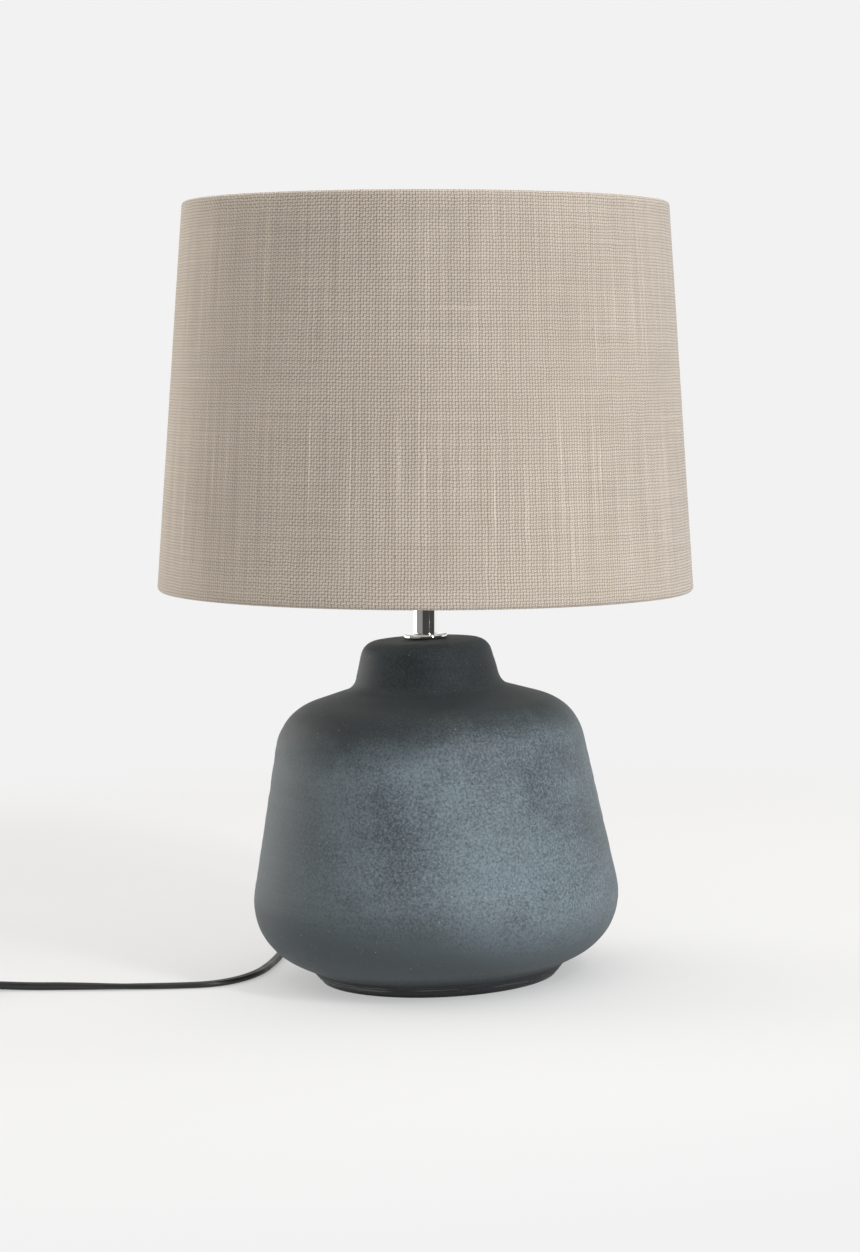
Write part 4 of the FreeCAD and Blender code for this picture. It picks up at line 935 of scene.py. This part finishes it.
def makeCoverTree():
    # both rolled hems and the wall between them, joined and leaned like the stem
    inputs = [("Around", "Int", 360), ("Rows", "Int", 40), ("Hem Rows", "Int", 12)]
    inputs += floats("Low Radius", "Top Radius", "Low Height", "Top Height", "Roll", "Tangent",
                     "Tuck Sweep", "Girth", "Ripple", "Seed")
    group, given, result = newGeometry("shadeCover", inputs + placing)
    skin = makeHoopSkin()
    hemLength = times(group, given["Tuck Sweep"], given["Roll"])
    radiusStep = calc(group, "SUBTRACT", given["Top Radius"], given["Low Radius"])
    heightStep = calc(group, "SUBTRACT", given["Top Height"], given["Low Height"])
    shared = {"Around": given["Around"], "Roll": given["Roll"], "Girth": given["Girth"]}
    low = {"Radius": given["Low Radius"], "Height": given["Low Height"]}
    top = {"Radius": given["Top Radius"], "Height": given["Top Height"]}
    hem = {"Rows": given["Hem Rows"], "Sweep": given["Tuck Sweep"], "Map Length": hemLength}
    lowStart = calc(group, "SUBTRACT", given["Tangent"], given["Tuck Sweep"])
    lowHem = useGroup(group, skin, {
        **shared, **low, **hem, "Start": lowStart, "Map Start": times(group, hemLength, -1.0)})
    wall = useGroup(group, skin, {
        **shared, **low, "Rows": given["Rows"], "Radius Step": radiusStep, "Height Step": heightStep,
        "Start": given["Tangent"], "Map Length": heightStep})
    topHem = useGroup(group, skin, {
        **shared, **top, **hem, "Start": given["Tangent"], "Map Start": heightStep})
    joined = addNode(group, "GeometryNodeJoinGeometry")
    for part in (topHem, wall, lowHem):
        group.links.new(part.outputs[0], joined.inputs[0])
    welded = addNode(group, "GeometryNodeMergeByDistance", {
        "Geometry": joined.outputs[0], "Distance": 0.00002})
    wave = addNode(group, "ShaderNodeTexNoise", {"W": given["Seed"], "Scale": 16.0, "Detail": 1.0},
                   noise_dimensions="4D")
    push = times(group, calc(group, "SUBTRACT", wave.outputs[0], 0.5), given["Ripple"])
    outward = addNode(group, "GeometryNodeInputNormal").outputs[0]
    offset = addNode(group, "ShaderNodeVectorMath", {0: outward, "Scale": push}, operation="SCALE")
    rippled = addNode(group, "GeometryNodeSetPosition", {
        "Geometry": welded.outputs[0], "Offset": offset.outputs[0]})
    smooth = addNode(group, "GeometryNodeSetShadeSmooth", {"Geometry": rippled.outputs[0]})
    placeAndPaint(group, given, result, smooth.outputs[0])
    return group


def coverSizes():
    slope = math.atan2(shade["low radius"] - shade["top radius"], shade["high"] - shade["low"])
    roll = shade["wire"] + shade["cloth"]
    inset = roll / math.cos(slope)
    low, high = shade["low"] + roll, shade["high"] - roll
    return {"Low Radius": shade["low radius"] - roll * math.tan(slope) - inset,
            "Top Radius": shade["top radius"] + roll * math.tan(slope) - inset,
            "Low Height": low, "Top Height": high, "Roll": roll, "Tangent": slope}


def makeCover():
    sizes = coverSizes()
    sizes.update({"Around": shade["around"], "Rows": shade["rows"], "Hem Rows": shade["hem rows"],
                  "Tuck Sweep": math.radians(360 - shade["tuck"]), "Ripple": shade["ripple"],
                  "Seed": shade["ripple seed"], "Girth": 2 * math.pi * shade["mean radius"], **leaned})
    cover = applyTree("linen_cover", makeCoverTree(), sizes, finishes["linen"])
    thicken = cover.modifiers.new("cloth", "SOLIDIFY")
    thicken.thickness = shade["cloth"]
    thicken.offset = -1
    return settle(cover, "shade", "linen", "shade_fabric")


def makeSeam():
    # the lapped edge of the cover, a narrow turned strip down the back
    sizes = coverSizes()
    mesh = bmesh.new()
    uvLayer = mesh.loops.layers.uv.new("UVMap")
    across, rows = shade["seam across"], shade["seam rows"]
    outerRows, innerRows = [], []
    for row in range(rows + 1):
        share = row / rows
        height = sizes["Low Height"] + (sizes["Top Height"] - sizes["Low Height"]) * share
        radius = sizes["Low Radius"] + (sizes["Top Radius"] - sizes["Low Radius"]) * share
        radius += sizes["Roll"] / math.cos(sizes["Tangent"])
        outer, inner = [], []
        for column in range(across + 1):
            place = column / across - 0.5
            angle = math.pi / 2 + place * shade["seam width"] / radius
            puff = shade["seam puff"] * (1 - abs(2 * place) ** 4) + shade["seam edge"]
            puff += 0.00008 * noise.noise(Vector((place * 3, height * 120, 1)))
            for side, reach in ((outer, radius + puff), (inner, radius - 0.0002)):
                side.append(mesh.verts.new((reach * math.cos(angle), reach * math.sin(angle), height)))
        outerRows.append(outer)
        innerRows.append(inner)

    def patch(*corners):
        for loop in mesh.faces.new(corners).loops:
            co = loop.vert.co
            loop[uvLayer].uv = (math.atan2(co.x, co.y) * shade["mean radius"], co.z)

    for row in range(rows):
        outer, outerNext = outerRows[row], outerRows[row + 1]
        inner, innerNext = innerRows[row], innerRows[row + 1]
        for column in range(across):
            patch(outer[column], outer[column + 1], outerNext[column + 1], outerNext[column])
            patch(inner[column + 1], inner[column], innerNext[column], innerNext[column + 1])
        for column in (0, across):
            patch(inner[column], outer[column], outerNext[column], innerNext[column])
    for row in (0, rows):
        outer, inner = outerRows[row], innerRows[row]
        for column in range(across):
            patch(inner[column], inner[column + 1], outer[column + 1], outer[column])
    seam = toObject("cover_seam", mesh, finishes["linen"], stemPlace, sharp=60)
    return settle(seam, "shade", "linen")


def makeHub():
    outline = outlineOf(shade["carrier"], 0.0005)
    turnOnStem("carrier_ring", outline, fitting["around"], "shade", "white_enamel", "shade_hub")


linenCover = makeCover()
coverSeam = makeSeam()
makeHub()
print("shade covered")


# finishes of the pieces that keep their own solids
carriedFinishes = {
    "felt": ["base_pad"],
    "rubber": ["neck_gasket", "cord_grommet"],
    "zinc_steel": ["inner_washer", "threaded_nipple", "neck_nut", "holder_lock_screw", "switch_screws",
                   "switch_pin"],
    "black_flex": ["inner_flex", "switch_core"],
    "core_insulation": ["flex_cores"],
    "black_plastic": ["cord_grip", "switch_base", "switch_cover", "switch_rocker", "plug_body"],
    "black_insulator": ["bulb_insulator", "plug_sleeves"],
    "porcelain": ["contact_block"],
    "brass": ["terminal_screws", "centre_contact", "screw_shell", "switch_contacts"],
    "nickel": ["plug_pins"],
    "solder": ["bulb_contact"],
    "white_enamel": ["bottom_wire", "top_wire", "spider_arm_1", "spider_arm_2", "spider_arm_3"],
    "styrene": ["shade_liner"],
}
for finishName, names in carriedFinishes.items():
    for name in names:
        data = cadNodes[name].data
        data.materials.clear()
        data.materials.append(finishes[finishName])

print("carried pieces finished")
